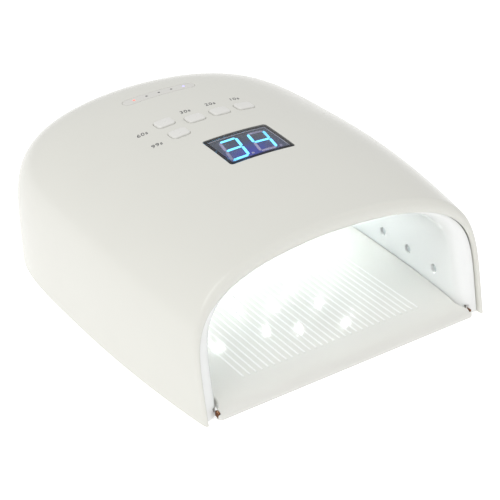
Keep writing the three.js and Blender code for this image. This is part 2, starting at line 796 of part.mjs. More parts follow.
boardScrewPlaces.forEach(([x, y], i) => {
  const headBottom = BOARD.bottom - GAP - SCREW.headHeight;
  addNode(`board_screw_${i + 1}`, screw(x, y, headBottom).intersect(
    box(x - 4, x + 4, y - 4, y + 4, headBottom, boardTop + 5)), 'steel');
});

// ---------------------------------------------------------------- LED boards

// A bent board that follows the liner between two stations and two angles.
function bentBoard(front, rear, angles) {
  const near = inset(LINER_OUTSIDE, -LED_BOARD_NEAR);
  const far = inset(LINER_OUTSIDE, -LED_BOARD_FAR);
  const rows = spread(front, rear, 5);
  const grid = (form) => rows.map((y) => angles.map((angle) => surfacePoint(form, y, angle)));
  return sheet(grid(far), grid(near));
}

function withLeds(board, leds) {
  const bulbs = leds.map((led) => ledBar(led, 0.5, LINER_WALL + 0.9, LED_RADIUS, 8));
  return bulbs.reduce((whole, bulb) => whole.add(bulb), board);
}

// The side boards' angles, from just over the bottom cover up to the shoulder.
function sideAngles(side) {
  const lowest = Math.asin(((12.6 - INNER_BOTTOM) / LINER_OUTSIDE.crown) ** (SHOULDER_POWER / 2));
  const highest = Math.acos(61 / LINER_OUTSIDE.half);
  const inner = ARCH_ANGLES.filter((angle) => angle > lowest + 0.02 && angle < highest - 0.02);
  const right = [lowest, ...inner, highest];
  return side > 0 ? right : right.map((angle) => Math.PI - angle).reverse();
}

addPair('led_board', (side) => {
  return withLeds(bentBoard(-100, 40, sideAngles(side)), sideLedsOf(side));
}, 'board');

function roofAngles() {
  const edge = Math.acos(57 / LINER_OUTSIDE.half);
  const inner = ARCH_ANGLES.filter((angle) => angle > edge + 0.02 && angle < Math.PI - edge - 0.02);
  return [edge, ...inner, Math.PI - edge];
}

addNode('led_board_roof', withLeds(bentBoard(-22, 44, roofAngles()), roofLedList), 'board');

function rearBoard() {
  const y = LINER_OUTSIDE.rear + 2 * GAP;
  let board = box(-50, 50, y, y + 1, 14, 34);
  for (const { point } of rearLedList) {
    const tip = new THREE.Vector3(point.x, point.y + 0.5, point.z);
    board = board.add(bar(tip, new THREE.Vector3(point.x, y + 0.5, point.z), LED_RADIUS, 8));
  }
  return board;
}

addNode('led_board_rear', rearBoard(), 'board');

function handSensor() {
  const roof = roofHeight(LINER_INSIDE, SENSOR.x, SENSOR.y);
  const capsule = column(SENSOR.x, SENSOR.y, roof + 0.6, roof + 4, SENSOR.radius, 14);
  return capsule.add(column(SENSOR.x, SENSOR.y, roof + 3, roof + 4.6, 4.5, 14));
}

addNode('hand_sensor', handSensor(), 'tintedWindow');

// ---------------------------------------------------------------- battery and charging inlet

const CELL = { radius: 9.2, length: 65, y: 102.4, heights: [35, 54.5] };

CELL.heights.forEach((z, i) => {
  const left = new THREE.Vector3(-CELL.length / 2, CELL.y, z);
  const right = new THREE.Vector3(CELL.length / 2, CELL.y, z);
  const nub = new THREE.Vector3(CELL.length / 2 + 1, CELL.y, z);
  addNode(`battery_cell_${i + 1}`, bar(left, right, CELL.radius, 20).add(
    bar(left, nub, 2.8, 10)), 'battery');
});

function batteryHolder() {
  const inside = CELL.length / 2 + 2;
  const front = CELL.y - CELL.radius - 2.6;
  const back = CELL.y + 4;
  const bottom = CELL.heights[0] - CELL.radius - 1;
  const top = CELL.heights[1] + CELL.radius + 0.5;
  const shape = new THREE.Shape();
  shape.moveTo(-inside - 2, back);
  shape.lineTo(-inside - 2, front);
  shape.lineTo(inside + 2, front);
  shape.lineTo(inside + 2, back);
  shape.lineTo(inside, back);
  shape.lineTo(inside, front + 2);
  shape.lineTo(-inside, front + 2);
  shape.lineTo(-inside, back);
  return slab(shape, bottom, top);
}

addNode('battery_holder', batteryHolder(), 'holder');

function chargingInlet() {
  const wall = HALF_DEPTH - WALL;
  const at = (y) => new THREE.Vector3(0, y, INLET.z);
  const body = box(-5.5, 5.5, wall - 13, wall - GAP - 0.5, INLET.z - 5.5, INLET.z + 5.5);
  const collar = bar(at(wall - 2), at(HALF_DEPTH - 0.4), INLET.radius, 20);
  return body.add(collar).subtract(bar(at(wall - 9), at(HALF_DEPTH + 1), 2.9, 18));
}

addNode('charging_inlet', chargingInlet(), 'inlet');
addNode('charging_inlet_pin', bar(
  new THREE.Vector3(0, HALF_DEPTH - WALL - 8.7, INLET.z),
  new THREE.Vector3(0, HALF_DEPTH - 1.6, INLET.z), 1, 10), 'steel');

export default lamp;
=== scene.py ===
# %% [markdown]
# # A cordless UV curing lamp
# The lamp is a white plastic hood over a loose tray. A hand goes in at the front, and LEDs in
# the hood's glossy lining cure what is painted on the nails. This file builds the lamp's looks
# round a fixed frame: every size and place comes from the frame, and the frame never moves.

# %% Load the frame
import math

import bmesh
import bpy
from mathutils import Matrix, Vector


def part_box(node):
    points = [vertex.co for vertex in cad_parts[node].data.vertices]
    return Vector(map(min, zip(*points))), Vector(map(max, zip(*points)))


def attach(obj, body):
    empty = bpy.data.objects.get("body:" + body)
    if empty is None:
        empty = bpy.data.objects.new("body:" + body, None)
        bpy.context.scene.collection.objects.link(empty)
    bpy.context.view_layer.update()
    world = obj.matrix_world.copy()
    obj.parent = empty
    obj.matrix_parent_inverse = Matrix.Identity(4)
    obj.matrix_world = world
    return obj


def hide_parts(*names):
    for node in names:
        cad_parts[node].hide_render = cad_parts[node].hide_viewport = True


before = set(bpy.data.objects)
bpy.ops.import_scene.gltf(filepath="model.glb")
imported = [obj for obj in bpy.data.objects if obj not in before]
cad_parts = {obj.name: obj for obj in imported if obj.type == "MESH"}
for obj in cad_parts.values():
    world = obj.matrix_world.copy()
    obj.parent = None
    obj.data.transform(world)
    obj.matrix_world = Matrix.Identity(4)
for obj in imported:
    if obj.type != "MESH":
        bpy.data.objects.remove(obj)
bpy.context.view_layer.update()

# %% [markdown]
# ## One unit
# Blender works in metres, and a lamp like this is drawn in millimetres. Multiplying by MM keeps
# the numbers readable, so 2.8 * MM is a wall of 2.8 millimetres.

# %% Millimetres
MM = 0.001
print("one millimetre is", MM, "of Blender's units")

# %% [markdown]
# ## The rule behind the hood
# The hood and its lining are both arched surfaces that follow one rule. Cut across, each is an
# arch with square shoulders: a superellipse. Seen from above, the sides run nearly straight and
# then round off at the rear, which is a second superellipse, and the roof falls along a third.
# The whole arch also leans back, so that the front opening slopes. The rule could be traced as
# curves, but as a formula it gives the exact height of the roof under a button or a screw too.

# %% The arched form
SHOULDER = 5.4         # the larger, the squarer the shoulders
LEAN = 0.226           # how far the front edge leans back for each unit of height
HALF_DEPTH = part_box("outer_shell")[1].y


class Form:
    """One arched surface. Heights are measured from its own bottom."""

    def __init__(self, bottom, rear, half, taper, crown, fall, plan_power, crown_power):
        self.bottom = bottom
        self.rear = rear
        self.half = half
        self.taper = taper
        self.crown = crown
        self.fall = fall
        self.plan_power = plan_power
        self.crown_power = crown_power

    def drawn_in(self, depth):
        """The same surface, moved inwards at its sides, rear and roof."""
        return Form(self.bottom, self.rear - depth, self.half - depth, self.taper,
                    self.crown - depth, self.fall, self.plan_power, self.crown_power)

    def size(self, y):
        """Half the width, and the height of the roof, at one station along the lamp."""
        if y > 0:
            along = min(y / self.rear, 1)
            half = self.half * (1 - along ** self.plan_power) ** (1 / self.plan_power)
            return half, self.crown * (1 - along ** self.crown_power) ** (1 / self.crown_power)
        along = (y / HALF_DEPTH) ** 2
        return self.half - self.taper * along, self.crown - self.fall * along

    def field(self, x, y, z):
        """Below zero inside the surface and above zero outside it."""
        height = max(z - self.bottom, 0)
        station = (y - LEAN * height / 2) / (1 - LEAN * height / (2 * HALF_DEPTH))
        if station >= self.rear:
            return 1
        half, crown = self.size(station)
        return (x / half) ** 2 + (height / crown) ** SHOULDER - 1

    def reach(self, start, direction, far=0.13):
        """How far the surface is from a point inside it, found by halving the gap."""
        near = 0
        for _ in range(30):
            middle = (near + far) / 2
            if self.field(*(start + direction * middle)) > 0:
                far = middle
            else:
                near = middle
        return near

    def roof(self, x, y):
        """Height of the roof over one place."""
        return self.reach(Vector((x, y, 0.01)), Vector((0, 0, 1))) + 0.01

    def normal(self, point):
        """The direction straight out of the surface."""
        step = 0.05 * MM
        slopes = []
        for axis in range(3):
            aside = Vector((0, 0, 0))
            aside[axis] = step
            slopes.append(self.field(*(point + aside)) - self.field(*(point - aside)))
        return Vector(slopes).normalized()


print("the form is a class of its own")

# %% [markdown]
# ## The two forms
# The shell and the lining are the same rule with different numbers. The shell's size comes from
# the frame, and the lining is smaller, which leaves room for the boards between the two.

# %% The shell's and the lining's forms
shell_low, shell_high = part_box("outer_shell")
shell_form = Form(shell_low.z, HALF_DEPTH, shell_high.x, 9.2 * MM,
                  shell_high.z - shell_low.z, 11.3 * MM, 4, 5.5)
LINER_WALL = 2 * MM
liner_form = Form(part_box("reflector_liner")[0].z, 84 * MM, 89.5 * MM, 7.9 * MM,
                  75.5 * MM, 1.5 * MM, 3.2, 4)
print("roof over the middle", round(shell_form.roof(0, 0) / MM, 2), "mm")

# %% [markdown]
# ## Arithmetic on node sockets
# A material or a Geometry Nodes tree is full of small sums, and each sum is a Math node. This
# class wraps an output socket so that a sum can be written as plain Python: `1 - mask * 2` adds
# the Math nodes it needs. Any other kind of node comes from the one method `node`, which takes
# the node's type, its settings and what its sockets are fed.

# %% A wire that can do sums
class Wire:
    """An output socket of a node, with arithmetic."""

    def __init__(self, socket):
        self.socket = socket
        self.tree = socket.id_data

    @staticmethod
    def node(tree, kind, settings=None, inputs=None, output=0):
        made = tree.nodes.new(kind)
        for name, value in (settings or {}).items():
            setattr(made, name, value)
        for key, value in (inputs or {}).items():
            if isinstance(value, Wire):
                tree.links.new(value.socket, made.inputs[key])
            else:
                made.inputs[key].default_value = value
        return Wire(made.outputs[output]) if len(made.outputs) else None

    def other(self, name):
        """Another output of the same node."""
        return Wire(self.socket.node.outputs[name])


def maths(operation, *terms):
    tree = next(term.tree for term in terms if isinstance(term, Wire))
    return Wire.node(tree, "ShaderNodeMath", {"operation": operation}, dict(enumerate(terms)))


def give_operator(sign, operation):
    """Teach Wire one arithmetic sign, with the wire on either side of it."""
    setattr(Wire, f"__{sign}__", lambda wire, other: maths(operation, wire, other))
    setattr(Wire, f"__r{sign}__", lambda wire, other: maths(operation, other, wire))


for sign, operation in (("add", "ADD"), ("sub", "SUBTRACT"), ("mul", "MULTIPLY"),
                        ("truediv", "DIVIDE"), ("pow", "POWER")):
    give_operator(sign, operation)
print("sockets can now be added, multiplied and raised to powers")

# %% [markdown]
# ## Helpers for finishes
# Every finish starts as one Principled shader on an empty material. These helpers make it, find
# a place on the piece, turn the place into noise and mix two colours. They use the wire's node
# method, so a finish reads from left to right.

# %% Shader helpers
def new_shader(name, **constants):
    """An empty material with one Principled shader, and its tree."""
    material = bpy.data.materials.new(name)
    material.use_nodes = True
    tree = material.node_tree
    tree.nodes.clear()
    shader = tree.nodes.new("ShaderNodeBsdfPrincipled")
    output = tree.nodes.new("ShaderNodeOutputMaterial")
    tree.links.new(shader.outputs[0], output.inputs[0])
    for socket, value in constants.items():
        shader.inputs[socket.replace("_", " ")].default_value = value
    return material, tree, shader


def shades(colour, amount):
    """A darker and a lighter neighbour of a colour."""
    darker = [channel * (1 - amount) for channel in colour]
    lighter = [min(channel * (1 + amount), 1) for channel in colour]
    return (*darker, 1), (*lighter, 1)


def place_on(tree):
    """Where a point is on its own piece, in metres."""
    return Wire.node(tree, "ShaderNodeTexCoord", output="Object")


def axes_of(tree):
    """That place split up: this wire is x, and its other outputs are Y and Z."""
    return Wire.node(tree, "ShaderNodeSeparateXYZ", {}, {0: place_on(tree)})


def noise(tree, scale, detail=2.0, seed=0.0):
    """Noise fixed to the piece. The scale counts features in a metre."""
    return Wire.node(tree, "ShaderNodeTexNoise", {"noise_dimensions": "4D"}, {
        "Vector": place_on(tree), "W": seed, "Scale": scale, "Detail": detail}, "Fac")


def mixed(tree, factor, first, second):
    """A colour between two colours."""
    return Wire.node(tree, "ShaderNodeMix", {"data_type": "RGBA"},
                     {0: factor, 6: first, 7: second}, 2)


def bump(tree, height, strength, distance):
    return Wire.node(tree, "ShaderNodeBump", {}, {
        "Height": height, "Strength": strength, "Distance": distance})


def feed(shader, socket, wire):
    wire.tree.links.new(wire.socket, shader.inputs[socket])


def toned(tree, colour, amount, scale, detail, seed=0.0):
    """A colour that drifts a little darker and lighter across a piece."""
    return mixed(tree, noise(tree, scale, detail, seed), *shades(colour, amount))


print("a darker and a lighter grey", shades((0.5, 0.5, 0.5), 0.1))

# %% [markdown]
# ## A plastic finish
# Moulded white plastic is never one flat colour. Seen close up it has a faint unevenness of
# tone, and its gloss is broken by a ripple too small to see as bumps, which makers call orange
# peel. Both come from noise in Object coordinates, so they stay fixed to the piece. The noise
# feeds only the colour, the roughness and a Bump node. Everything else is a plain number.

# %% Moulded plastic
def plastic(name, colour, roughness, tone=0.012, grain=900, depth=0.02, **constants):
    """Moulded plastic: uneven tone, uneven gloss and a fine ripple."""
    material, tree, shader = new_shader(name, **constants)
    feed(shader, "Base Color", toned(tree, colour, tone, 35, 3))
    feed(shader, "Roughness", roughness + (noise(tree, 140, 3, 2.0) - 0.5) * (roughness * 0.35))
    feed(shader, "Normal", bump(tree, noise(tree, grain, 2, 5.0), depth, 0.1 * MM))
    return material


SHELL_WHITE = (0.725, 0.722, 0.675)
LINER_WHITE = (0.88, 0.888, 0.883)
TRAY_WHITE = (0.78, 0.775, 0.74)
shell_plastic = plastic("shell_plastic", SHELL_WHITE, 0.24, IOR=1.5)
liner_plastic = plastic("liner_plastic", LINER_WHITE, 0.2, IOR=1.5)
tray_plastic = plastic("tray_plastic", TRAY_WHITE, 0.09, IOR=1.5)
button_plastic = plastic("button_plastic", (0.77, 0.765, 0.74), 0.28)
cover_plastic = plastic("cover_plastic", (0.66, 0.655, 0.63), 0.5, depth=0.35)
strip_plastic = plastic("strip_plastic", (0.71, 0.7, 0.67), 0.3)
print("six plastics")

# %% [markdown]
# ## From a node tree to a mesh
# A Geometry Nodes tree is run once by putting it on an object and asking for the evaluated
# mesh. That gives a plain mesh with no modifier left on it, which is what the frame wants. The
# tree's inputs are set by the sockets' identifiers, which stay the same if a name changes.

# %% Run a tree
def add_object(name, data):
    """A new object in the scene that shows some data."""
    thing = bpy.data.objects.new(name, data)
    bpy.context.scene.collection.objects.link(thing)
    return thing


def evaluated(thing):
    """An object's mesh with its modifiers applied."""
    view = bpy.context.evaluated_depsgraph_get()
    return bpy.data.meshes.new_from_object(thing.evaluated_get(view))


def as_mesh(name, body):
    """A bmesh turned into plain mesh data."""
    mesh = bpy.data.meshes.new(name)
    body.to_mesh(mesh)
    body.free()
    return mesh


class Tree:
    """A Geometry Nodes tree with named inputs."""

    def __init__(self, name, **inputs):
        self.group = bpy.data.node_groups.new(name, "GeometryNodeTree")
        interface = self.group.interface
        interface.new_socket("Geometry", in_out="OUTPUT", socket_type="NodeSocketGeometry")
        interface.new_socket("Geometry", in_out="INPUT", socket_type="NodeSocketGeometry")
        self.defaults = inputs
        for key, value in inputs.items():
            kind = {int: "NodeSocketInt", float: "NodeSocketFloat"}.get(
                type(value), "NodeSocketMaterial")
            interface.new_socket(key, in_out="INPUT", socket_type=kind)
        self.entry = self.group.nodes.new("NodeGroupInput")

    def __getitem__(self, name):
        return Wire(self.entry.outputs[name])

    def node(self, kind, settings=None, inputs=None, output=0):
        return Wire.node(self.group, kind, settings, inputs, output)

    def vector(self, x=0.0, y=0.0, z=0.0):
        return self.node("ShaderNodeCombineXYZ", {}, {0: x, 1: y, 2: z})

    def end(self, shape):
        """Realize the instances and give the faces their material."""
        real = self.node("GeometryNodeRealizeInstances", {}, {"Geometry": shape})
        done = self.node("GeometryNodeSetMaterial", {},
                         {"Geometry": real, "Material": self["Material"]})
        self.node("NodeGroupOutput", {}, {"Geometry": done})

    def run(self, start, **values):
        """The mesh that the tree makes from a start mesh."""
        carrier = add_object("carrier", start)
        modifier = carrier.modifiers.new("tree", "NODES")
        modifier.node_group = self.group
        for item in self.group.interface.items_tree:
            if item.in_out == "INPUT" and item.name in self.defaults:
                modifier[item.identifier] = values.get(item.name, self.defaults[item.name])
        mesh = evaluated(carrier)
        bpy.data.objects.remove(carrier)
        return mesh


print("trees can be run")

# %% [markdown]
# ## From a mesh to a named piece
# A finished mesh gets its material and smooth shading, except across sharp edges. It then gets
# the body it moves with. A piece may also stand for a coarser piece of the frame, which is then
# hidden.

# %% Name a piece
SHARP_ANGLE = math.radians(32)


def add_piece(name, mesh, material, body, stands_for=()):
    """Put a finished mesh into the scene as a named piece that moves with one body."""
    if isinstance(mesh, bmesh.types.BMesh):
        mesh = as_mesh(name, mesh)
    piece = add_object(name, mesh)
    mesh.materials.clear()
    mesh.materials.append(material)
    mesh.polygons.foreach_set("material_index", [0] * len(mesh.polygons))
    mesh.shade_smooth()
    mesh.set_sharp_from_angle(angle=SHARP_ANGLE)
    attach(piece, body)
    if stands_for:
        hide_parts(*stands_for)
    print(name, len(mesh.polygons), "faces")


# %% [markdown]
# ## The sweep that makes both hoods
# The shell and the lining could be modelled by pushing points about, but a rule repeats better
# than a hand. The tree takes a list of rings as a mesh: each vertex holds how far the ring is
# drawn in at its sides (x), where along the lamp it stands (y) and how far it is drawn in at
# its roof (z). A grid is then bent so that each row becomes one arch of the form.

# %% The sweep tree
ARCH_POINTS = 121


def sweep_tree():
    tree = Tree("arch_sweep", Steps=ARCH_POINTS, Half=0.1, Taper=0.0, Crown=0.1, Fall=0.0,
                Rear=0.1, PlanPower=4.0, CrownPower=5.0, Bottom=0.0, HalfDepth=0.12, Lean=0.0,
                Shoulder=5.0, Material=None)
    count = tree.node("GeometryNodeAttributeDomainSize", {}, {"Geometry": tree["Geometry"]})
    grid = tree.node("GeometryNodeMeshGrid", {}, {
        "Size X": 1.0, "Size Y": 1.0, "Vertices X": count, "Vertices Y": tree["Steps"]})
    index = tree.node("GeometryNodeInputIndex")
    row = maths("FLOOR", index / tree["Steps"])
    across = (index - row * tree["Steps"]) / (tree["Steps"] - 1)
    ring = tree.node("GeometryNodeSampleIndex", {"data_type": "FLOAT_VECTOR"}, {
        "Geometry": tree["Geometry"], "Value": tree.node("GeometryNodeInputPosition"),
        "Index": row})
    parts = tree.node("ShaderNodeSeparateXYZ", {}, {0: ring})
    side_in, station, top_in = parts, parts.other("Y"), parts.other("Z")
    behind = maths("MINIMUM", maths("MAXIMUM", station, 0) / (tree["Rear"] - side_in), 1)
    ahead = (maths("MINIMUM", station, 0) / tree["HalfDepth"]) ** 2
    plan = (1 - behind ** tree["PlanPower"]) ** (1 / tree["PlanPower"])
    roof = (1 - behind ** tree["CrownPower"]) ** (1 / tree["CrownPower"])
    half = (tree["Half"] - side_in) * plan - tree["Taper"] * ahead
    crown = (tree["Crown"] - top_in) * roof - tree["Fall"] * ahead
    from_base = 1 - maths("ABSOLUTE", across * 2 - 1)
    angle = from_base ** 1.8 * (math.pi / 2)
    side = maths("SIGN", 0.5 - across)
    rise = maths("SINE", angle) ** (2 / tree["Shoulder"])
    height = crown * rise
    lean = tree["Lean"] * (tree["HalfDepth"] - station) / (tree["HalfDepth"] * 2)
    place = tree.vector(half * maths("COSINE", angle) * side, station + lean * height,
                        tree["Bottom"] + height)
    tree.end(tree.node("GeometryNodeSetPosition", {}, {"Geometry": grid, "Position": place}))
    return tree


arch_sweep = sweep_tree()
print(len(arch_sweep.group.nodes), "nodes in the sweep")

# %% [markdown]
# ## Where the rings stand
# The rings have to crowd together where the plan turns, at the rear corners, and can spread out
# along the straight sides. Spacing them by equal steps along the plan's outline does both.

# %% Even stations
END_TURN = math.radians(89.7)      # just short of the very end, where the form has no width


def spread(start, end, steps):
    return [start + (end - start) * i / steps for i in range(steps + 1)]


def even_stations(form, front, behind, ahead):
    """Stations from the rear end of a form to a front limit."""
    turn = spread(END_TURN, 0, 600)
    stations = [form.rear * math.sin(a) ** (2 / form.plan_power) for a in turn]
    travelled = [0.0]
    for y, following in zip(stations, stations[1:]):
        step = math.dist((form.size(y)[0], y), (form.size(following)[0], following))
        travelled.append(travelled[-1] + step)
    even = []
    for goal in spread(0, travelled[-1], behind):
        i = min(range(len(stations)), key=lambda k: abs(travelled[k] - goal))
        even.append(stations[i])
    return even + spread(0, front, ahead)[1:]


def swept(form, rings, name, material):
    """The closed body of a form's rings: skin, flat ends and a flat underside."""
    start = bpy.data.meshes.new(name)
    start.from_pydata(rings, [], [])
    mesh = arch_sweep.run(start, Half=form.half, Taper=form.taper, Crown=form.crown,
                          Fall=form.fall, Rear=form.rear, PlanPower=float(form.plan_power),
                          CrownPower=float(form.crown_power), Bottom=form.bottom,
                          HalfDepth=HALF_DEPTH, Lean=LEAN, Shoulder=SHOULDER, Steps=ARCH_POINTS,
                          Material=material)
    body = bmesh.new()
    body.from_mesh(mesh)
    body.verts.ensure_lookup_table()
    rows = [body.verts[i * ARCH_POINTS:(i + 1) * ARCH_POINTS] for i in range(len(rings))]
    body.faces.new(rows[0])
    body.faces.new(rows[-1])
    underside = body.faces.new([row[0] for row in rows] + [row[-1] for row in reversed(rows)])
    bmesh.ops.triangulate(body, faces=[underside])
    bmesh.ops.recalc_face_normals(body, faces=body.faces)
    return body


print("the shell's plan has", len(even_stations(shell_form, -0.1, 60, 20)), "stations")

# %% [markdown]
# ## The outer shell
# The shell is a thin-walled moulding. Its front edge is a rounded lip that is thin beside the
# legs and deeper over the hand. The rings run from the rear, over the outside to the front,
# round the lip in a half circle, and back along the inside wall.

# %% The shell's rings
WALL = 2.8 * MM
LIP_SIDE, LIP_TOP = 2.6 * MM, 8.4 * MM
LIP_RADIUS, LIP_DEPTH = 2.4 * MM, 3 * MM
FRONT = -HALF_DEPTH


def shell_rings():
    rings = [(0, y, 0) for y in even_stations(shell_form, FRONT + 2 * LIP_RADIUS, 62, 26)]
    for turn in spread(0, math.pi, 16):
        share = (1 - math.cos(turn)) / 2
        y = FRONT + LIP_RADIUS * (1 - math.sin(turn))
        rings.append((LIP_SIDE * share, y, LIP_TOP * share))
    rings.append((LIP_SIDE, FRONT + LIP_DEPTH, LIP_TOP))
    inner = shell_form.drawn_in(WALL)
    inside = even_stations(inner, FRONT + LIP_DEPTH + 2 * MM, 26, 8)
    return rings + [(WALL, y, WALL) for y in reversed(inside)]


shell_body = swept(shell_form, shell_rings(), "shell_rings", shell_plastic)
print("shell", len(shell_body.faces), "faces before its holes")

# %% [markdown]
# ## Outlines and lofts
# Many of the lamp's pieces are rounded rectangles from above. An outline is a list of points
# round one, and a loft is a skin over several outlines. A bevel modifier could round a box too,
# but here every outline has the same number of points, so all of them join point to point.

# %% Outlines and lofts
TURN_STEPS, EDGE_STEPS = 5, 6      # points round a corner and along an edge


def outline(place, size, corner, grow=0.0):
    """Points round a rounded rectangle, the same number for any growth."""
    x, y = place
    reach_x = size[0] / 2 - corner
    reach_y = size[1] / 2 - corner
    radius = corner + grow
    corners = [(1, 1, 0), (-1, 1, 90), (-1, -1, 180), (1, -1, 270)]
    turns = []
    for side_x, side_y, start in corners:
        for step in range(TURN_STEPS + 1):
            angle = math.radians(start + 90 * step / TURN_STEPS)
            turns.append((x + side_x * reach_x + radius * math.cos(angle),
                          y + side_y * reach_y + radius * math.sin(angle)))
    points = []
    for i, point in enumerate(turns):
        points.append(point)
        if i % (TURN_STEPS + 1) == TURN_STEPS:
            after = turns[(i + 1) % len(turns)]
            for step in range(1, EDGE_STEPS):
                share = step / EDGE_STEPS
                points.append((point[0] + (after[0] - point[0]) * share,
                               point[1] + (after[1] - point[1]) * share))
    return points


def loft(rings, cap_start=True, cap_end=True):
    """A closed skin over rings of points."""
    body = bmesh.new()
    rows = [[body.verts.new(point) for point in ring] for ring in rings]
    for near, far in zip(rows, rows[1:]):
        for i, corner in enumerate(near):
            j = (i + 1) % len(near)
            body.faces.new((corner, near[j], far[j], far[i]))
    if cap_start:
        body.faces.new(rows[0])
    if cap_end:
        body.faces.new(rows[-1])
    bmesh.ops.recalc_face_normals(body, faces=body.faces)
    return body


print("an outline has", len(outline((0, 0), (0.01, 0.01), 0.002)), "points")

# %% [markdown]
# ## Pieces and holes that follow the roof
# The window, the buttons and the indicator strip all sit in holes in the curved roof, and their
# tops carry on its curve. One helper makes them all: it stacks outlines, each pushed out from
# the nominal outline and lowered from the roof by its own amount, and then closes the top with
# smaller and smaller copies. With its outline pushed out near the roof, the same helper makes
# the cutter for a hole with a softened edge.

# %% Plugs
def lowered(ring, depth):
    """A ring of places, set at one depth below the roof."""
    return [(x, y, shell_form.roof(x, y) - depth) for x, y in ring]


def prism(ring, bottom, top):
    """A flat outline pulled straight up."""
    return loft([[(x, y, z) for x, y in ring] for z in (bottom, top)])


def roof_plug(place, size, corner, levels, fill=7, crown=0.0):
    """A body under the roof. Each level is (outline growth, depth below the roof)."""
    rings = [lowered(outline(place, size, corner, grow), depth) for grow, depth in levels]
    grow, depth = levels[-1]
    edge = outline(place, size, corner, grow)
    for step in range(1, fill):
        share = 1 - step / fill
        ring = [(place[0] + (x - place[0]) * share, place[1] + (y - place[1]) * share)
                for x, y in edge]
        rings.append(lowered(ring, depth - crown * (1 - share * share)))
    return loft(rings)


def rounded_levels(radius, bottom, steps=5, top=0.0):
    """Levels of a wall that rounds over into the top."""
    levels = [(0.0, bottom)]
    for turn in spread(0, math.pi / 2, steps):
        levels.append((-radius * (1 - math.cos(turn)), top + radius * (1 - math.sin(turn))))
    return levels


print("a rounded edge has", len(rounded_levels(1 * MM, WALL)), "levels")

# %% [markdown]
# ## Cutting
# A hole is made with a Boolean modifier: the cutter's volume is taken away from the target, and
# the result is kept as a plain mesh. Cutting by hand would be quick for one hole, but there
# are dozens, and each one has to agree with the piece that sits in it.

# %% Cut with a Boolean
def middle_and_size(node):
    low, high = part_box(node)
    return ((low.x + high.x) / 2, (low.y + high.y) / 2), (high.x - low.x, high.y - low.y)


def as_object(name, body):
    return add_object(name, as_mesh(name, body))


def mesh_of(thing):
    """Keep an object's mesh and throw the object away."""
    mesh = thing.data
    bpy.data.objects.remove(thing)
    return mesh


def cut(target, cutter):
    """Take a cutter out of a body, and throw the cutter away."""
    modifier = target.modifiers.new("hole", "BOOLEAN")
    modifier.operation = "DIFFERENCE"
    modifier.solver = "EXACT"
    modifier.object = cutter
    mesh = evaluated(target)
    target.modifiers.clear()
    target.data = mesh
    bpy.data.objects.remove(cutter)


print("ready to cut")

# %% [markdown]
# ## The roof's holes
# The cutters reach from above the roof to below the wall, and widen a little at the roof so that
# the hole has the small softened edge of a moulding. The places come from the frame's own
# pieces, so hole and piece always agree.

# %% The roof's holes
FIT = 0.3 * MM          # gap round a piece in its hole
EDGE = 0.35 * MM        # width of a hole's softened edge
BUTTON_NAMES = ("rear_left", "front_left", "centre_left", "centre_right", "right")
BUTTON_SIZE = (11.6 * MM, 8.6 * MM)
BUTTON_CORNER = 2.6 * MM
button_places = {}
for label in BUTTON_NAMES:
    button_places[label] = middle_and_size(f"button_{label}")[0]

window_place, window_size = middle_and_size("display_window")
WINDOW_CORNER = 1.6 * MM
strip_place, strip_size = middle_and_size("indicator_strip")
STRIP_CORNER = strip_size[1] / 2 - 0.05 * MM


def hole_cutter(name, place, size, corner, fit=FIT):
    levels = [(fit, WALL + 1.5 * MM), (fit, EDGE), (fit + EDGE * 0.35, EDGE * 0.3),
              (fit + EDGE, 0), (fit + EDGE, -2 * MM)]
    return as_object(name, roof_plug(place, size, corner, levels, fill=3))


shell = as_object("shell_blank", shell_body)
cut(shell, hole_cutter("window_hole", window_place, window_size, WINDOW_CORNER, 0.2 * MM))
cut(shell, hole_cutter("strip_hole", strip_place, strip_size, STRIP_CORNER, 0.12 * MM))
for label, place in button_places.items():
    cut(shell, hole_cutter(f"hole_{label}", place, BUTTON_SIZE, BUTTON_CORNER))
print("shell", len(shell.data.polygons), "faces after the roof's holes")

# %% [markdown]
# ## The charging socket's hole
# A round plug goes in at the rear, low down in the middle. The hole runs along the lamp, so its
# cutter is turned rather than dropped from above: a short profile is spun round an axis.

# %% Turned shapes
INLET_HEIGHT = 16 * MM
INLET_RADIUS = 4.2 * MM


def turned(profile, centre, axis, sides=40, cap_start=True, cap_end=True):
    """A profile of (radius, distance along the axis) spun into a closed body."""
    turn = Vector((0, 0, 1)).rotation_difference(Vector(axis)).to_matrix()
    rings = []
    for radius, along in profile:
        ring = []
        for side in range(sides):
            angle = 2 * math.pi * side / sides
            flat = Vector((radius * math.cos(angle), radius * math.sin(angle), along))
            ring.append(Vector(centre) + turn @ flat)
        rings.append(ring)
    return loft(rings, cap_start, cap_end)


def joined(*bodies):
    """Several bodies as one mesh."""
    whole = bodies[0]
    for body in bodies[1:]:
        whole.from_mesh(as_mesh("part", body) if isinstance(body, bmesh.types.BMesh) else body)
    return whole


inlet_centre = (0, HALF_DEPTH, INLET_HEIGHT)
hole_radius = INLET_RADIUS + FIT
inlet_profile = [(hole_radius, -9 * MM), (hole_radius, -1.3 * EDGE),
                 (hole_radius + EDGE, -0.2 * EDGE), (hole_radius + EDGE, 4 * MM)]
cut(shell, as_object("inlet_hole", turned(inlet_profile, inlet_centre, (0, 1, 0))))
add_piece("outer_shell_moulding", mesh_of(shell), shell_plastic, "lamp",
          ["outer_shell"])

# %% [markdown]
# ## The reflector liner
# Inside the hood is a second moulding, in a glossier and whiter plastic, that throws the light
# back at the hand. At the opening it flares out in a quarter round until it meets the shell's
# lip, and the line between them is the seam that is seen on both legs. The sweep makes it from
# the liner's own form. The flare's rings are drawn in by less than nothing.

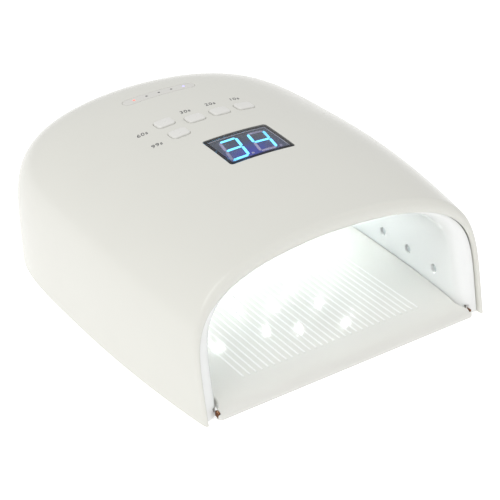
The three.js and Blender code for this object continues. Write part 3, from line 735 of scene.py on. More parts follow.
# %% The liner's rings
MOUTH_DEPTH = 10 * MM
mouth_form = Form(liner_form.bottom, liner_form.rear, shell_form.half - LIP_SIDE - 2 * FIT,
                  shell_form.taper, shell_form.crown - LIP_TOP - 2 * FIT, shell_form.fall,
                  liner_form.plan_power, liner_form.crown_power)


def mouth_ring(share, y, outwards=0.0):
    """A ring between the liner's inside (share 0) and the shell's lip (share 1)."""
    wide, tall = mouth_form.size(y)
    half, crown = liner_form.size(y)
    return (-share * (wide - half) - outwards, y, -share * (tall - crown) - outwards)


def liner_rings():
    start = FRONT + LIP_DEPTH + FIT
    outside = even_stations(liner_form.drawn_in(-LINER_WALL), FRONT + 18 * MM, 34, 10)
    rings = [(-LINER_WALL, y, -LINER_WALL) for y in outside]
    rings.append(mouth_ring(1, start + 1 * MM, FIT / 3))
    for turn in spread(0, math.pi / 2, 16):
        rings.append(mouth_ring(1 - math.sin(turn),
                                start + MOUTH_DEPTH * (1 - math.cos(turn))))
    inside = even_stations(liner_form, start + MOUTH_DEPTH + 3 * MM, 58, 22)
    return rings + [(0, y, 0) for y in reversed(inside)]


liner = as_object("liner_blank", swept(liner_form, liner_rings(), "liner_rings", liner_plastic))
print("liner", len(liner.data.polygons), "faces before its holes")

# %% [markdown]
# ## LEDs on the liner
# The LEDs sit in round windows: two rows over the hand, three on each shoulder, six down each
# wall and four at the finger tips. Their places are worked out on the liner's surface, each
# with the direction straight out of it. The points then go to a Geometry Nodes tree that sets
# the same small shape on every point, turned to its direction.

# %% Places of the LEDs
LED_WINDOW = 2.5 * MM
WALL_LED_HEIGHT = 17.5 * MM
REAR_LED_HEIGHT = WALL_LED_HEIGHT + 6.5 * MM


def on_roof(x, y):
    point = Vector((x * MM, y * MM, liner_form.roof(x * MM, y * MM)))
    return point, liner_form.normal(point)


def met(start, out):
    """Where a line from inside the liner meets its surface."""
    return start + out * liner_form.reach(start, out)


def on_wall(side, y):
    point = met(Vector((0, y * MM, WALL_LED_HEIGHT)), Vector((side, 0, 0)))
    return point, liner_form.normal(point)


def on_rear(x):
    out = Vector((0, 1, 0))
    return met(Vector((x * MM, 0, REAR_LED_HEIGHT)), out), out


ROOF_PAIRS = [(32, 8), (49, -4), (31, 41), (51, 27)]
SHOULDERS = [(70, -26), (71, 4), (68, 32)]
WALL_STATIONS = (-86, -60, -35, -12, 10, 31)
roof_leds = [on_roof(0, 14), on_roof(0, 47)]
for x, y in ROOF_PAIRS:
    roof_leds += [on_roof(x, y), on_roof(-x, y)]
shoulder_leds = {1: [], -1: []}
wall_leds = {1: [], -1: []}
for side in (1, -1):
    shoulder_leds[side] = [on_roof(side * x, y) for x, y in SHOULDERS]
    wall_leds[side] = [on_wall(side, y) for y in WALL_STATIONS]
rear_leds = [on_rear(x) for x in (-40, -15, 15, 40)]
every_led = roof_leds + rear_leds
for side in (1, -1):
    every_led = every_led + shoulder_leds[side] + wall_leds[side]
print(len(every_led), "LEDs")

# %% [markdown]
# ## One shape on every point
# All the LEDs are the same part, so only their places and directions differ. The points carry
# the direction as a named attribute. The tree turns each instance to it and offsets the shape
# along it, so one tree makes the LEDs' bodies and another makes every small dome.

# %% A tree that sets one turned shape on every point
def points_mesh(name, places):
    """Points that carry the direction they face."""
    mesh = bpy.data.meshes.new(name)
    mesh.from_pydata([point for point, _ in places], [], [])
    facing = mesh.attributes.new("facing", "FLOAT_VECTOR", "POINT")
    facing.data.foreach_set("vector", [part for _, out in places for part in out])
    return mesh


def set_on_points(name, shape_of, **inputs):
    tree = Tree(name, Offset=0.0, Material=None, **inputs)
    shape = tree.node("GeometryNodeTransform", {}, {
        "Geometry": shape_of(tree),
        "Translation": tree.vector(z=tree["Offset"])})
    facing = tree.node("GeometryNodeInputNamedAttribute", {"data_type": "FLOAT_VECTOR"},
                       {"Name": "facing"})
    turn = tree.node("FunctionNodeAlignRotationToVector", {"axis": "Z"}, {"Vector": facing})
    points = tree.node("GeometryNodeMeshToPoints", {}, {"Mesh": tree["Geometry"]})
    tree.end(tree.node("GeometryNodeInstanceOnPoints", {}, {
        "Points": points, "Instance": shape, "Rotation": turn}))
    return tree


def cone_shape(tree):
    return tree.node("GeometryNodeMeshCone", {"fill_type": "NGON"}, {
        "Vertices": 28, "Radius Top": tree["Top"], "Radius Bottom": tree["Bottom"],
        "Depth": tree["Depth"]})


def dome_shape(tree):
    ball = tree.node("GeometryNodeMeshUVSphere", {}, {
        "Segments": 20, "Rings": 10, "Radius": 1.0})
    scale = tree.vector(tree["Radius"], tree["Radius"], tree["Rise"])
    return tree.node("GeometryNodeTransform", {}, {"Geometry": ball, "Scale": scale})


cone_on_points = set_on_points("cone_on_points", cone_shape, Top=0.001, Bottom=0.001,
                               Depth=0.001)
dome_on_points = set_on_points("dome_on_points", dome_shape, Radius=0.001, Rise=0.001)
print("two trees for turned shapes")

# %% [markdown]
# ## The LED windows
# Each window is a straight hole with a rim that widens towards the hand. The cutter for one is
# a turned profile, straight and then flaring, and all of them are taken out of the liner in one
# go. More cutters make the hand sensor's hole and the pockets of the mouth's two magnets.

# %% Cut the windows
SENSOR_PLACE = (0, -62)
SENSOR_HOLE = 3.3 * MM
RIM = 0.5 * MM
MAGNET_FIT = 0.2 * MM


def window_cutter(name, places, radius):
    """One closed body for every window: a straight hole with a flared rim."""
    profile = [(radius + 2 * RIM, -1.6 * MM), (radius + RIM, -0.1 * MM), (radius, RIM),
               (radius, 6 * MM)]
    return as_object(name, joined(*[turned(profile, point, out, 28) for point, out in places]))


cut(liner, window_cutter("led_windows", every_led, LED_WINDOW))
sensor_point = on_roof(*SENSOR_PLACE)[0]
cut(liner, window_cutter("sensor_window", [(sensor_point, Vector((0, 0, 1)))], SENSOR_HOLE))
for side in ("right", "left"):
    low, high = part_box(f"mouth_magnet_{side}")
    middle = (low + high) / 2
    radius = (high.x - low.x) / 2 + MAGNET_FIT
    pocket = turned([(radius, -3 * MM), (radius, high.z + MAGNET_FIT)],
                    (middle.x, middle.y, 0), (0, 0, 1), 24)
    cut(liner, as_object("magnet_pocket", pocket))
add_piece("reflector_liner_moulding", mesh_of(liner), liner_plastic, "lamp",
          ["reflector_liner"])

# %% [markdown]
# ## Light
# A lit LED is a small bright dome. Its material is only an emission colour and a strength: the
# colour is a cool white, a little stronger in blue than in red. The LEDs in the side walls point
# across the hand, and seen from the opening they stay grey, so their domes glow only faintly.
# Their darker grey body colour is painted shade, for the shade in their recessed windows.

# %% LED finishes
def glowing(name, colour, strength, body_colour=(0.8, 0.82, 0.82), roughness=0.2):
    material, tree, shader = new_shader(name, Emission_Strength=strength)
    feed(shader, "Base Color", toned(tree, body_colour, 0.05, 900, 2))
    feed(shader, "Emission Color", toned(tree, colour, 0.04, 700, 2, 3.0))
    shader.inputs["Roughness"].default_value = roughness
    return material


led_lit = glowing("led_lit", (0.9, 0.98, 1.0), 170.0)
# The side domes' darker grey body colour is painted shade from their recessed windows; their
# faint glow is the LEDs' own light.
side_dome_painted_shade = glowing("side_led_painted_shade", (0.8, 0.95, 1.0), 0.12, (0.5, 0.52, 0.52))
led_white = plastic("led_package", (0.84, 0.83, 0.78), 0.35)


def led_board_finish(name, colour):
    """Solder resist: a matt skin over faint copper tracks."""
    material, tree, shader = new_shader(name, Roughness=0.45, Specular_IOR_Level=0.4)
    tracks = Wire.node(tree, "ShaderNodeTexBrick", {"offset": 0.37, "squash": 0.7}, {
        "Vector": place_on(tree), "Scale": 160.0, "Mortar Size": 0.05,
        "Mortar Smooth": 0.2}, "Fac")
    feed(shader, "Base Color", mixed(tree, tracks * 0.5 + noise(tree, 300, 3) * 0.2,
                                     *shades(colour, 0.18)))
    feed(shader, "Normal", bump(tree, tracks, 0.3, 0.05 * MM))
    return material


led_board_skin = led_board_finish("led_board_skin", (0.7, 0.72, 0.7))
green_board_skin = led_board_finish("green_board_skin", (0.03, 0.16, 0.075))
print("light and boards")

# %% [markdown]
# ## The LED boards
# Each board is a thin flexible sheet bent round the back of the liner. A sheet that follows the
# form is a loft: its cross-section is a strip of arch, near side and far side, repeated from
# station to station.

# %% Bent boards
BOARD_GAP, BOARD_THICKNESS = 0.4 * MM, 1 * MM
PACKAGE_RADIUS = 2.1 * MM


def bent_board(front, rear, first, last):
    """A strip of the liner's back, between two stations and two angles."""
    near = liner_form.drawn_in(-LINER_WALL - BOARD_GAP)
    far = liner_form.drawn_in(-LINER_WALL - BOARD_GAP - BOARD_THICKNESS)
    rings = []
    for y in spread(front, rear, 14):
        ring = []
        for form, angles in ((near, spread(first, last, 18)), (far, spread(last, first, 18))):
            half, crown = form.size(y)
            for angle in angles:
                height = crown * math.sin(angle) ** (2 / SHOULDER)
                lean = LEAN * (HALF_DEPTH - y) / (2 * HALF_DEPTH) * height
                ring.append((half * math.cos(angle), y + lean, form.bottom + height))
        rings.append(ring)
    return loft(rings)


def led_packages(name, places, depth):
    """The white bodies of the LEDs, from their board to a depth behind the surface."""
    length = LINER_WALL + BOARD_GAP + BOARD_THICKNESS / 2 - depth
    return cone_on_points.run(points_mesh(name, places), Top=PACKAGE_RADIUS,
                              Bottom=PACKAGE_RADIUS, Depth=length, Offset=depth,
                              Material=led_white)


print("boards can be bent")

# %% [markdown]
# ## Three boards
# One board lines each side wall and shoulder, and one lies over the roof. The LEDs' white
# bodies are soldered to a board on the real lamp, so here they are joined to its mesh.

# %% The three bent boards
WALL_RECESS, ROOF_RECESS = 1.5 * MM, 0.5 * MM
SIDE_BOARD_EDGE, ROOF_BOARD_EDGE = 61 * MM, 57 * MM      # their edges, from the middle line
LOW_ANGLE, HIGH_ANGLE = 0.016, math.acos(SIDE_BOARD_EDGE / (liner_form.half + LINER_WALL))
for side, word in ((1, "right"), (-1, "left")):
    first, last = LOW_ANGLE, HIGH_ANGLE
    if side < 0:
        first, last = math.pi - last, math.pi - first
    board = joined(bent_board(-100 * MM, 40 * MM, first, last),
                   led_packages("wall", wall_leds[side], WALL_RECESS),
                   led_packages("shoulder", shoulder_leds[side], ROOF_RECESS))
    add_piece(f"led_board_{word}_sheet", board, led_board_skin, "lamp",
              [f"led_board_{word}"])
ROOF_ANGLE = math.acos(ROOF_BOARD_EDGE / (liner_form.half + LINER_WALL))
roof_board = joined(bent_board(-22 * MM, 44 * MM, ROOF_ANGLE, math.pi - ROOF_ANGLE),
                    led_packages("roof", roof_leds, ROOF_RECESS))
add_piece("led_board_roof_sheet", roof_board, led_board_skin, "lamp",
          ["led_board_roof"])

# %% [markdown]
# ## The LEDs' domes
# The clear dome on an LED is what shines, so the domes are pieces of their own with a glowing
# material. The lit ones and the grey ones in the walls are two pieces, because a piece has one
# material.

# %% The LEDs' domes
DOME_RADIUS = 1.9 * MM
lit_places = roof_leds + shoulder_leds[1] + shoulder_leds[-1] + rear_leds
domes = dome_on_points.run(points_mesh("lit", lit_places), Radius=DOME_RADIUS, Rise=0.9 * MM,
                           Offset=ROOF_RECESS, Material=led_lit)
add_piece("led_domes_lit", domes, led_lit, "lamp")
side_places = wall_leds[1] + wall_leds[-1]
side_domes = dome_on_points.run(points_mesh("side", side_places), Radius=DOME_RADIUS,
                                Rise=0.7 * MM, Offset=WALL_RECESS, Material=side_dome_painted_shade)
add_piece("led_domes_side", side_domes, side_dome_painted_shade, "lamp")

# %% [markdown]
# ## The tray
# The hand rests on a loose tray that magnets hold in the hood's mouth. In plan it follows the
# liner and swells out into the mouth at its front corners. Seen from the side it is flat and
# then rolls over at the front. Plan and side view together give every cross-section, so the
# tray is a loft along the lamp, with its upper edges rounded.

# %% The tray's plan and side view
TRAY_BOTTOM, TRAY_TOP = (corner.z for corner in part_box("base_tray"))
TRAY_CORNER = 87 * MM
SWELL, ROUND = 11 * MM, 2 * MM
TRAY_EDGE, TRAY_FOOT = 1.1 * MM, 0.3 * MM      # the edges' radius and the small lower bevel
tray_form = liner_form.drawn_in(0.6 * MM)


def tray_half(y):
    """Half the tray's width: it swells towards the front and rounds off at the corner."""
    follow = tray_form.size(y)[0]
    share = min(max((FRONT + SWELL - y) / (SWELL - 3.6 * MM), 0), 1)
    half = follow + (TRAY_CORNER - follow) * (1 - math.sqrt(1 - share * share) * (1 - share / 3))
    past = min(max((FRONT + ROUND - y) / ROUND, 0), 1)
    return half - ROUND * (1 - math.sqrt(1 - past * past))


def quadratic(start, bend, end, steps):
    points = []
    for t in spread(0, 1, steps)[1:]:
        points.append(tuple(a * (1 - t) ** 2 + 2 * b * t * (1 - t) + c * t * t
                            for a, b, c in zip(start, bend, end)))
    return points


roll_start = (FRONT + 26 * MM, TRAY_TOP)
roll_middle = (FRONT + 8.5 * MM, TRAY_TOP - 1 * MM)
roll_end = (FRONT, TRAY_BOTTOM + 0.4 * MM)
roll = quadratic(roll_start, (FRONT + 15 * MM, TRAY_TOP), roll_middle, 8)
roll += quadratic(roll_middle, (FRONT + 0.4 * MM, TRAY_TOP - 2.4 * MM), roll_end, 14)


def tray_ring(y, top):
    """One cross-section: flat underneath, rounded where the sides meet the top."""
    half = tray_half(y)
    radius = min(TRAY_EDGE, half * 0.5, (top - TRAY_BOTTOM) * 0.6)
    foot = min(TRAY_FOOT, radius)
    right = [(half - foot, TRAY_BOTTOM), (half, TRAY_BOTTOM + foot)]
    for turn in spread(0, math.pi / 2, 6):
        right.append((half - radius * (1 - math.cos(turn)), top - radius * (1 - math.sin(turn))))
    edge = half - radius
    top_points = [(edge * share, top) for share in spread(1, -1, 16)[1:-1]]
    left = [(-x, z) for x, z in reversed(right)]
    return [(x, y, z) for x, z in right + top_points + left]


stations = even_stations(tray_form, roll_start[0], 44, 14)
tray = as_object("tray_blank", loft([tray_ring(y, TRAY_TOP) for y in stations]
                                    + [tray_ring(y, top) for y, top in roll]))
print("tray", len(tray.data.polygons), "faces before its pockets")

# %% [markdown]
# ## The tray's pockets
# Six pockets underneath keep the moulding thin, so that it cools evenly. Two round holes in the
# rear edge hold magnets, and a notch at each front corner holds a small steel plate.

# %% Pockets and magnets' holes
def block(x_range, y_range, z_range):
    body = bmesh.new()
    bmesh.ops.create_cube(body, size=1)
    for corner in body.verts:
        corner.co = Vector((x_range[corner.co.x > 0], y_range[corner.co.y > 0],
                            z_range[corner.co.z > 0]))
    return body


POCKET = (52 * MM, 58 * MM)
POCKET_CORNER = 4 * MM
pocket_roof = TRAY_TOP - 3 * MM
for x in (-58 * MM, 0, 58 * MM):
    for y in (-66 * MM, 0):
        plan = outline((x, y), POCKET, POCKET_CORNER)
        cut(tray, as_object("pocket", prism(plan, -1 * MM, pocket_roof)))
for side in ("right", "left"):
    low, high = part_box(f"tray_magnet_rear_{side}")
    radius = (high.z - low.z) / 2 + MAGNET_FIT
    hole = turned([(radius, -1.7 * MM), (radius, 8 * MM)], (low + high) / 2, (0, 1, 0), 24)
    cut(tray, as_object("magnet_hole", hole))
    low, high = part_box(f"keeper_front_{side}")
    reach = (low.x - 4 * MM, high.x + FIT) if side == "left" else (low.x - FIT, high.x + 4 * MM)
    cut(tray, as_object("keeper_notch", block(
        reach, (low.y - FIT, high.y + FIT), (low.z - FIT, 20 * MM))))
add_piece("base_tray_moulding", mesh_of(tray), tray_plastic, "tray", ["base_tray"])

# %% [markdown]
# ## The ribs
# On top, fine ribs run front to back under the hand and scatter the light. They are one bar
# repeated across the tray, which is a line of instances in Geometry Nodes. The bar is a circle
# swept along a line and then flattened.

# %% The ribs
def rib_tree():
    tree = Tree("tray_ribs", Count=30, Pitch=0.004, Length=0.05, Width=0.001, Rise=0.0003,
                Left=0.0, Front=0.0, Top=0.0, Material=None)
    spine = tree.node("GeometryNodeCurvePrimitiveLine", {}, {
        "End": tree.vector(y=tree["Length"])})
    section = tree.node("GeometryNodeCurvePrimitiveCircle", {}, {
        "Resolution": 10, "Radius": tree["Width"] / 2})
    bar = tree.node("GeometryNodeCurveToMesh", {}, {
        "Curve": spine, "Profile Curve": section, "Fill Caps": True})
    flatten = tree.vector(1.0, 1.0, 2 * tree["Rise"] / tree["Width"])
    low_bar = tree.node("GeometryNodeTransform", {}, {"Geometry": bar, "Scale": flatten})
    row = tree.node("GeometryNodeMeshLine", {}, {
        "Count": tree["Count"], "Offset": tree.vector(tree["Pitch"]),
        "Start Location": tree.vector(tree["Left"], tree["Front"], tree["Top"])})
    tree.end(tree.node("GeometryNodeInstanceOnPoints", {}, {
        "Points": row, "Instance": low_bar}))
    return tree


# The ribs are the tray's own plastic; their lighter colour is a painted highlight, so that they
# read as light lines.
rib_painted_highlight = plastic("rib_painted_highlight", (0.93, 0.93, 0.91), 0.12, IOR=1.5)
ribs = rib_tree().run(bpy.data.meshes.new("ribs"), Count=31, Pitch=4 * MM,
                      Length=70 * MM, Width=1.3 * MM, Rise=0.22 * MM, Left=-60 * MM,
                      Front=-102 * MM, Top=TRAY_TOP - 0.04 * MM, Material=rib_painted_highlight)
add_piece("tray_ribs", ribs, rib_painted_highlight, "tray")

# %% [markdown]
# ## The display
# The window over the clock is smoked clear plastic, flush with the roof. It could be a plain
# black patch, but then the digits would lie on top of it, so here it is really see-through: a
# transmissive shader, black where the border is printed on its underside. Below it a face plate
# follows the same curve and carries two slanted seven-segment digits.

# %% Smoked window
def border_mask(tree, size, middle_y, margin):
    """One on the window's printed border and zero inside it."""
    parts = axes_of(tree)
    aside = maths("ABSOLUTE", parts) - (size[0] / 2 - margin)
    along = maths("ABSOLUTE", parts.other("Y") - middle_y) - (size[1] / 2 - margin)
    return maths("GREATER_THAN", maths("MAXIMUM", aside, along), 0.0)


def smoked_window(name, size, middle_y, margin):
    material, tree, shader = new_shader(name, Transmission_Weight=1.0, IOR=1.46)
    mask = border_mask(tree, size, middle_y, margin)
    smoke = mixed(tree, noise(tree, 60, 2), (0.50, 0.53, 0.60, 1), (0.56, 0.58, 0.64, 1))
    feed(shader, "Base Color", mixed(tree, mask, smoke, (0.004, 0.004, 0.006, 1)))
    feed(shader, "Roughness", 0.03 + noise(tree, 300, 3) * 0.03)
    return material


BORDER = 1.7 * MM
window_skin = smoked_window("smoked_window", window_size, window_place[1], BORDER)
lens_levels = [(0.0, 2.2 * MM), (0.0, 0.3 * MM), (-0.08 * MM, 0.1 * MM), (-0.25 * MM, 0.02 * MM)]
lens = roof_plug(window_place, window_size, WINDOW_CORNER, lens_levels, fill=9)
add_piece("display_window_lens", lens, window_skin, "lamp",
          ["display_window"])

# %% [markdown]
# ## The glow behind the digits
# A lit display spills light inside its case. Here the face plate glows by itself, and two soft
# bell curves say where the blue is strongest: under the left digit and, weaker, the right one.

# %% Face plate with a blue glow
def falloff(tree, centre, radius):
    """One at a centre, fading to zero in a bell curve."""
    parts = axes_of(tree)
    across = (parts - centre[0]) / radius[0]
    along = (parts.other("Y") - centre[1]) / radius[1]
    return math.e ** (0 - (across * across + along * along))


def face_finish(name):
    material, tree, shader = new_shader(name, Emission_Strength=1.0, Roughness=0.35)
    y = window_place[1]
    glow = falloff(tree, (-8 * MM, y - 8 * MM), (12 * MM, 8 * MM)) \
        + falloff(tree, (8 * MM, y - 6 * MM), (9 * MM, 8 * MM)) * 0.4
    grain = noise(tree, 500, 3)
    feed(shader, "Base Color", mixed(tree, grain, (0.05, 0.055, 0.075, 1),
                                     (0.07, 0.075, 0.1, 1)))
    feed(shader, "Emission Color", mixed(tree, glow, (0.035, 0.05, 0.065, 1),
                                         (0.02, 0.03, 0.42, 1)))
    feed(shader, "Normal", bump(tree, grain, 0.1, 0.05 * MM))
    return material


display_face = face_finish("display_face")
FACE_SIZE = (window_size[0] - 1 * MM, window_size[1] - 1 * MM)
FACE_DEPTH = 2.9 * MM
face = roof_plug(window_place, FACE_SIZE, WINDOW_CORNER,
                 [(0.0, FACE_DEPTH + 1 * MM), (0.0, FACE_DEPTH)], fill=9)
add_piece("display_face_plate", face, display_face, "lamp")

# %% [markdown]
# ## The pale line
# Just inside the black border runs a thin pale line, a painted highlight: a band under the lens
# with a pale colour and a faint glow. It is a loft whose first and last rings meet, which makes
# a closed band.

# %% The pale line inside the border
def frame_band(place, size, corner, inner, outer, low, high):
    """A thin band that runs round a rounded rectangle just under the roof."""
    rings = []
    for grow, depth in ((inner, low), (outer, low), (outer, high), (inner, high), (inner, low)):
        rings.append(lowered(outline(place, size, corner, grow), depth))
    body = loft(rings, False, False)
    bmesh.ops.remove_doubles(body, verts=body.verts, dist=1e-7)
    bmesh.ops.recalc_face_normals(body, faces=body.faces)
    return body


# The band's faint glow is a painted highlight: the band is no lamp.
painted_highlight_line = glowing("painted_highlight_line", (0.75, 0.72, 0.8), 0.5, (0.7, 0.68, 0.72), 0.4)
band = frame_band(window_place, window_size, 2.2 * MM, -BORDER - 0.45 * MM,
                  -BORDER - 0.1 * MM, 2.45 * MM, 2.3 * MM)
add_piece("display_painted_highlight_line", band, painted_highlight_line, "lamp")

# %% [markdown]
# ## Seven-segment digits
# Every digit is the same seven slanted bars, and the number shown is only a choice of which
# are lit. The bars are six-sided, with pointed ends, and are set into the face plate's curve.

# %% Digits
DIGIT_WIDTH, DIGIT_HEIGHT, DIGIT_PITCH = 10.7 * MM, 19.8 * MM, 18.8 * MM
DIGIT_SHIFT = -0.4 * MM
SEGMENT, DOT_RADIUS = 1.65 * MM, 0.9 * MM
SLANT = 0.21
BARS = {
    "a": ((-1, 1), (1, 1)), "g": ((-1, 0), (1, 0)), "d": ((-1, -1), (1, -1)),
    "f": ((-1, 0), (-1, 1)), "b": ((1, 0), (1, 1)),
    "e": ((-1, -1), (-1, 0)), "c": ((1, -1), (1, 0)),
}
LIT_BARS = ({"a", "b", "g", "c", "d"}, {"f", "b", "g", "c"})
SHOWN_DEPTH = 2.6 * MM


def segment(digit_x, start, end):
    """One bar of a digit as a closed body."""
    half_width, half_height = DIGIT_WIDTH / 2, DIGIT_HEIGHT / 2
    first = Vector((start[0] * half_width, start[1] * half_height))
    last = Vector((end[0] * half_width, end[1] * half_height))
    along = (last - first).normalized()
    aside = Vector((-along.y, along.x)) * (SEGMENT / 2)
    gap = along * (0.3 * MM)
    tip = along * (SEGMENT / 2)
    flat = [first + gap, first + gap + tip + aside, last - gap - tip + aside,
            last - gap, last - gap - tip - aside, first + gap + tip - aside]
    ring = [(digit_x + point.x + SLANT * point.y, window_place[1] + point.y)
            for point in flat]
    return loft([lowered(ring, FACE_DEPTH + 0.1 * MM), lowered(ring, SHOWN_DEPTH)])


def digits(lit):
    """All the bars that are lit, or all that are not."""
    bars = []
    for place, shown in zip((-0.5, 0.5), LIT_BARS):
        for bar, (start, end) in BARS.items():
            if (bar in shown) == lit:
                bars.append(segment(place * DIGIT_PITCH + DIGIT_SHIFT, start, end))
    return bars


def dots():
    bars = []
    for place in (-0.5, 0.5):
        x = place * DIGIT_PITCH + DIGIT_WIDTH / 2 + 0.6 * MM
        y = window_place[1] - DIGIT_HEIGHT / 2 + 0.5 * MM
        top = shell_form.roof(x, y) - SHOWN_DEPTH
        bars.append(turned([(DOT_RADIUS, -0.4 * MM), (DOT_RADIUS, 0)], (x, y, top),
                           (0, 0, 1), 16))
    return bars


segment_blue = glowing("segment_blue", (0.13, 0.62, 1.0), 2.6, (0.3, 0.6, 0.8))
# The unlit bars and the dots glow faintly in a lavender grey: painted light, standing for the
# light that reaches them through the smoked lens.
unlit_segment_painted_glow = glowing("segment_unlit_painted_glow", (0.42, 0.35, 0.52), 0.55, (0.6, 0.56, 0.66), 0.4)
add_piece("display_segments_lit", joined(*digits(True)), segment_blue, "lamp")
add_piece("display_segments_unlit", joined(*digits(False), *dots()), unlit_segment_painted_glow, "lamp")

# %% [markdown]
# ## The buttons
# Five buttons stand about a millimetre proud of the roof, each with a soft rounded edge. Below
# the roof a button has a flange that keeps it from falling out and a stem that presses its
# switch. All five are the same plug at five places, and each rides its own body.

# %% Button caps
PROUD = 1 * MM
STEM_RADIUS, FLANGE_CORNER = 1.8 * MM, 2 * MM
button_levels = rounded_levels(1.0 * MM, WALL + 0.4 * MM, 6, -PROUD)
for label, place in button_places.items():
    node = f"button_{label}"
    low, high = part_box(node)
    flange_size = (high.x - low.x, high.y - low.y)
    cap = roof_plug(place, BUTTON_SIZE, BUTTON_CORNER - FIT, button_levels, crown=0.15 * MM)
    flange_top = min(corner.co.z for corner in cap.verts)
    flange = prism(outline(place, flange_size, FLANGE_CORNER), flange_top - 1.2 * MM,
                   flange_top + 0.3 * MM)
    stem = turned([(STEM_RADIUS, low.z), (STEM_RADIUS, flange_top)], (*place, 0),
                  (0, 0, 1), 20)
    add_piece(f"{node}_cap", joined(cap, flange, stem), button_plastic, node,
              [node])

# %% [markdown]
# ## The printed numbers
# Beside each button a curing time is printed in small slanted grey letters. Text is a curve in
# Blender. It is turned into a mesh first, and then every point is lifted onto the roof, so that
# the ink follows the curve and stands out by a few hundredths of a millimetre.

# %% Labels
ink = plastic("label_ink", (0.075, 0.075, 0.085), 0.5, tone=0.1)
TEXT_HEIGHT = 4.7 * MM
LABELS = {
    "rear_left": ("60s", (-16.6, -2.6)), "front_left": ("99s", (-16.6, -2.6)),
    "centre_left": ("30s", (-0.1, 11.2)), "centre_right": ("20s", (0.8, 12.2)),
    "right": ("10s", (0.7, 12.2)),
}


def printed(name, text, place):
    """Letters pressed onto the roof, centred on a place."""
    curve = bpy.data.curves.new(name, "FONT")
    curve.body = text
    curve.size = TEXT_HEIGHT
    curve.shear = 0.25
    curve.space_character = 1.15
    curve.align_x, curve.align_y = "CENTER", "CENTER"
    curve.offset = 0.03 * MM
    curve.extrude = 0.05 * MM
    letters = add_object(name, curve)
    body = bmesh.new()
    body.from_mesh(evaluated(letters))
    bpy.data.objects.remove(letters)
    bmesh.ops.remove_doubles(body, verts=body.verts, dist=1e-6)
    for vertex in body.verts:
        x, y = place[0] + vertex.co.x, place[1] + vertex.co.y
        vertex.co = (x, y, shell_form.roof(x, y) + vertex.co.z)
    return body


for label, (text, offset) in LABELS.items():
    x, y = button_places[label]
    place = (x + offset[0] * MM, y + offset[1] * MM)
    add_piece(f"label_{label}", printed(label, text, place), ink, "lamp")

# %% [markdown]
# ## The charge indicator
# A pale strip in the roof shows the battery's charge. Five small lights shine through it: one
# red, three out and one violet. The lights are little domes set on points by the same tree as
# the LEDs.

# %% Strip and its lights
strip_levels = [(0.0, 2 * MM), (0.0, 0.3 * MM), (-0.1 * MM, 0.08 * MM), (-0.3 * MM, 0.0)]
strip = roof_plug(strip_place, strip_size, STRIP_CORNER, strip_levels, fill=5)
add_piece("indicator_strip_cover", strip, strip_plastic, "lamp",
          ["indicator_strip"])

light_places = []
for i in range(1, 6):
    (x, y), _ = middle_and_size(f"indicator_led_{i}")
    point = Vector((x, y, shell_form.roof(x, y)))
    light_places.append((point, shell_form.normal(point)))
light_red = glowing("indicator_red", (1.0, 0.12, 0.08), 1.6, (0.6, 0.1, 0.08))
light_violet = glowing("indicator_violet", (0.35, 0.3, 1.0), 1.8, (0.3, 0.28, 0.8))
light_dark = plastic("indicator_dark", (0.09, 0.085, 0.09), 0.3)
INDICATORS = {"charging": (light_places[:1], light_red), "off": (light_places[1:4], light_dark),
              "full": (light_places[4:], light_violet)}
for word, (places, finish) in INDICATORS.items():
    light = dome_on_points.run(points_mesh(word, places), Radius=0.75 * MM, Rise=0.22 * MM,
                               Offset=0.0, Material=finish)
    add_piece(f"indicator_light_{word}", light, finish, "lamp")

# %% [markdown]
# ## The sensor and the charging socket
# A dark dome near the opening sees the hand and switches the lamp on. At the rear the socket
# is a turned collar on a small box, with a pin in the middle.

# %% Sensor and socket
sensor_skin = plastic("sensor_dark", (0.02, 0.02, 0.026), 0.12)
sensor_low, sensor_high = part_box("hand_sensor")
sensor_centre = (sensor_low + sensor_high) / 2
SENSOR_RADIUS, SENSOR_RISE = 3 * MM, 1.2 * MM
COLLAR_RADIUS, COLLAR = 4.5 * MM, 1.6 * MM
sensor_profile = [(SENSOR_RADIUS * math.sin(turn), SENSOR_RISE * (1 - math.cos(turn)))
                  for turn in spread(0.1, math.pi / 2, 7)]
sensor_tall = sensor_high.z - sensor_low.z
sensor_profile += [(SENSOR_RADIUS, sensor_tall - COLLAR), (COLLAR_RADIUS, sensor_tall - COLLAR),
                   (COLLAR_RADIUS, sensor_tall)]
sensor = turned(sensor_profile, (sensor_centre.x, sensor_centre.y, sensor_low.z), (0, 0, 1))
add_piece("hand_sensor_dome", sensor, sensor_skin, "lamp", ["hand_sensor"])

socket_skin = plastic("socket_black", (0.022, 0.022, 0.024), 0.4, tone=0.2, depth=0.3)
socket_profile = [(2.9 * MM, -11.8 * MM), (2.9 * MM, -0.6 * MM), (3.2 * MM, -0.3 * MM),
                  (4.0 * MM, -0.3 * MM), (INLET_RADIUS, -0.5 * MM), (INLET_RADIUS, -4.8 * MM),
                  (5.4 * MM, -4.8 * MM), (5.4 * MM, -15.4 * MM), (2.9 * MM, -15.4 * MM),
                  (2.9 * MM, -11.8 * MM)]
socket = turned(socket_profile, inlet_centre, (0, 1, 0), 40, False, False)
bmesh.ops.remove_doubles(socket, verts=socket.verts, dist=1e-7)
bmesh.ops.recalc_face_normals(socket, faces=socket.faces)
add_piece("charging_inlet_socket", socket, socket_skin, "lamp", ["charging_inlet"])

# %% [markdown]
# ## Metals, rubber and the battery's film
# The pieces that are out of sight keep the frame's own meshes and only get a finish. Metal is
# brushed: long thin noise changes its roughness. The keepers are browned steel, with darker
# patches. Rubber is matt with a fine bump, and the battery's shrink film has a printed band.

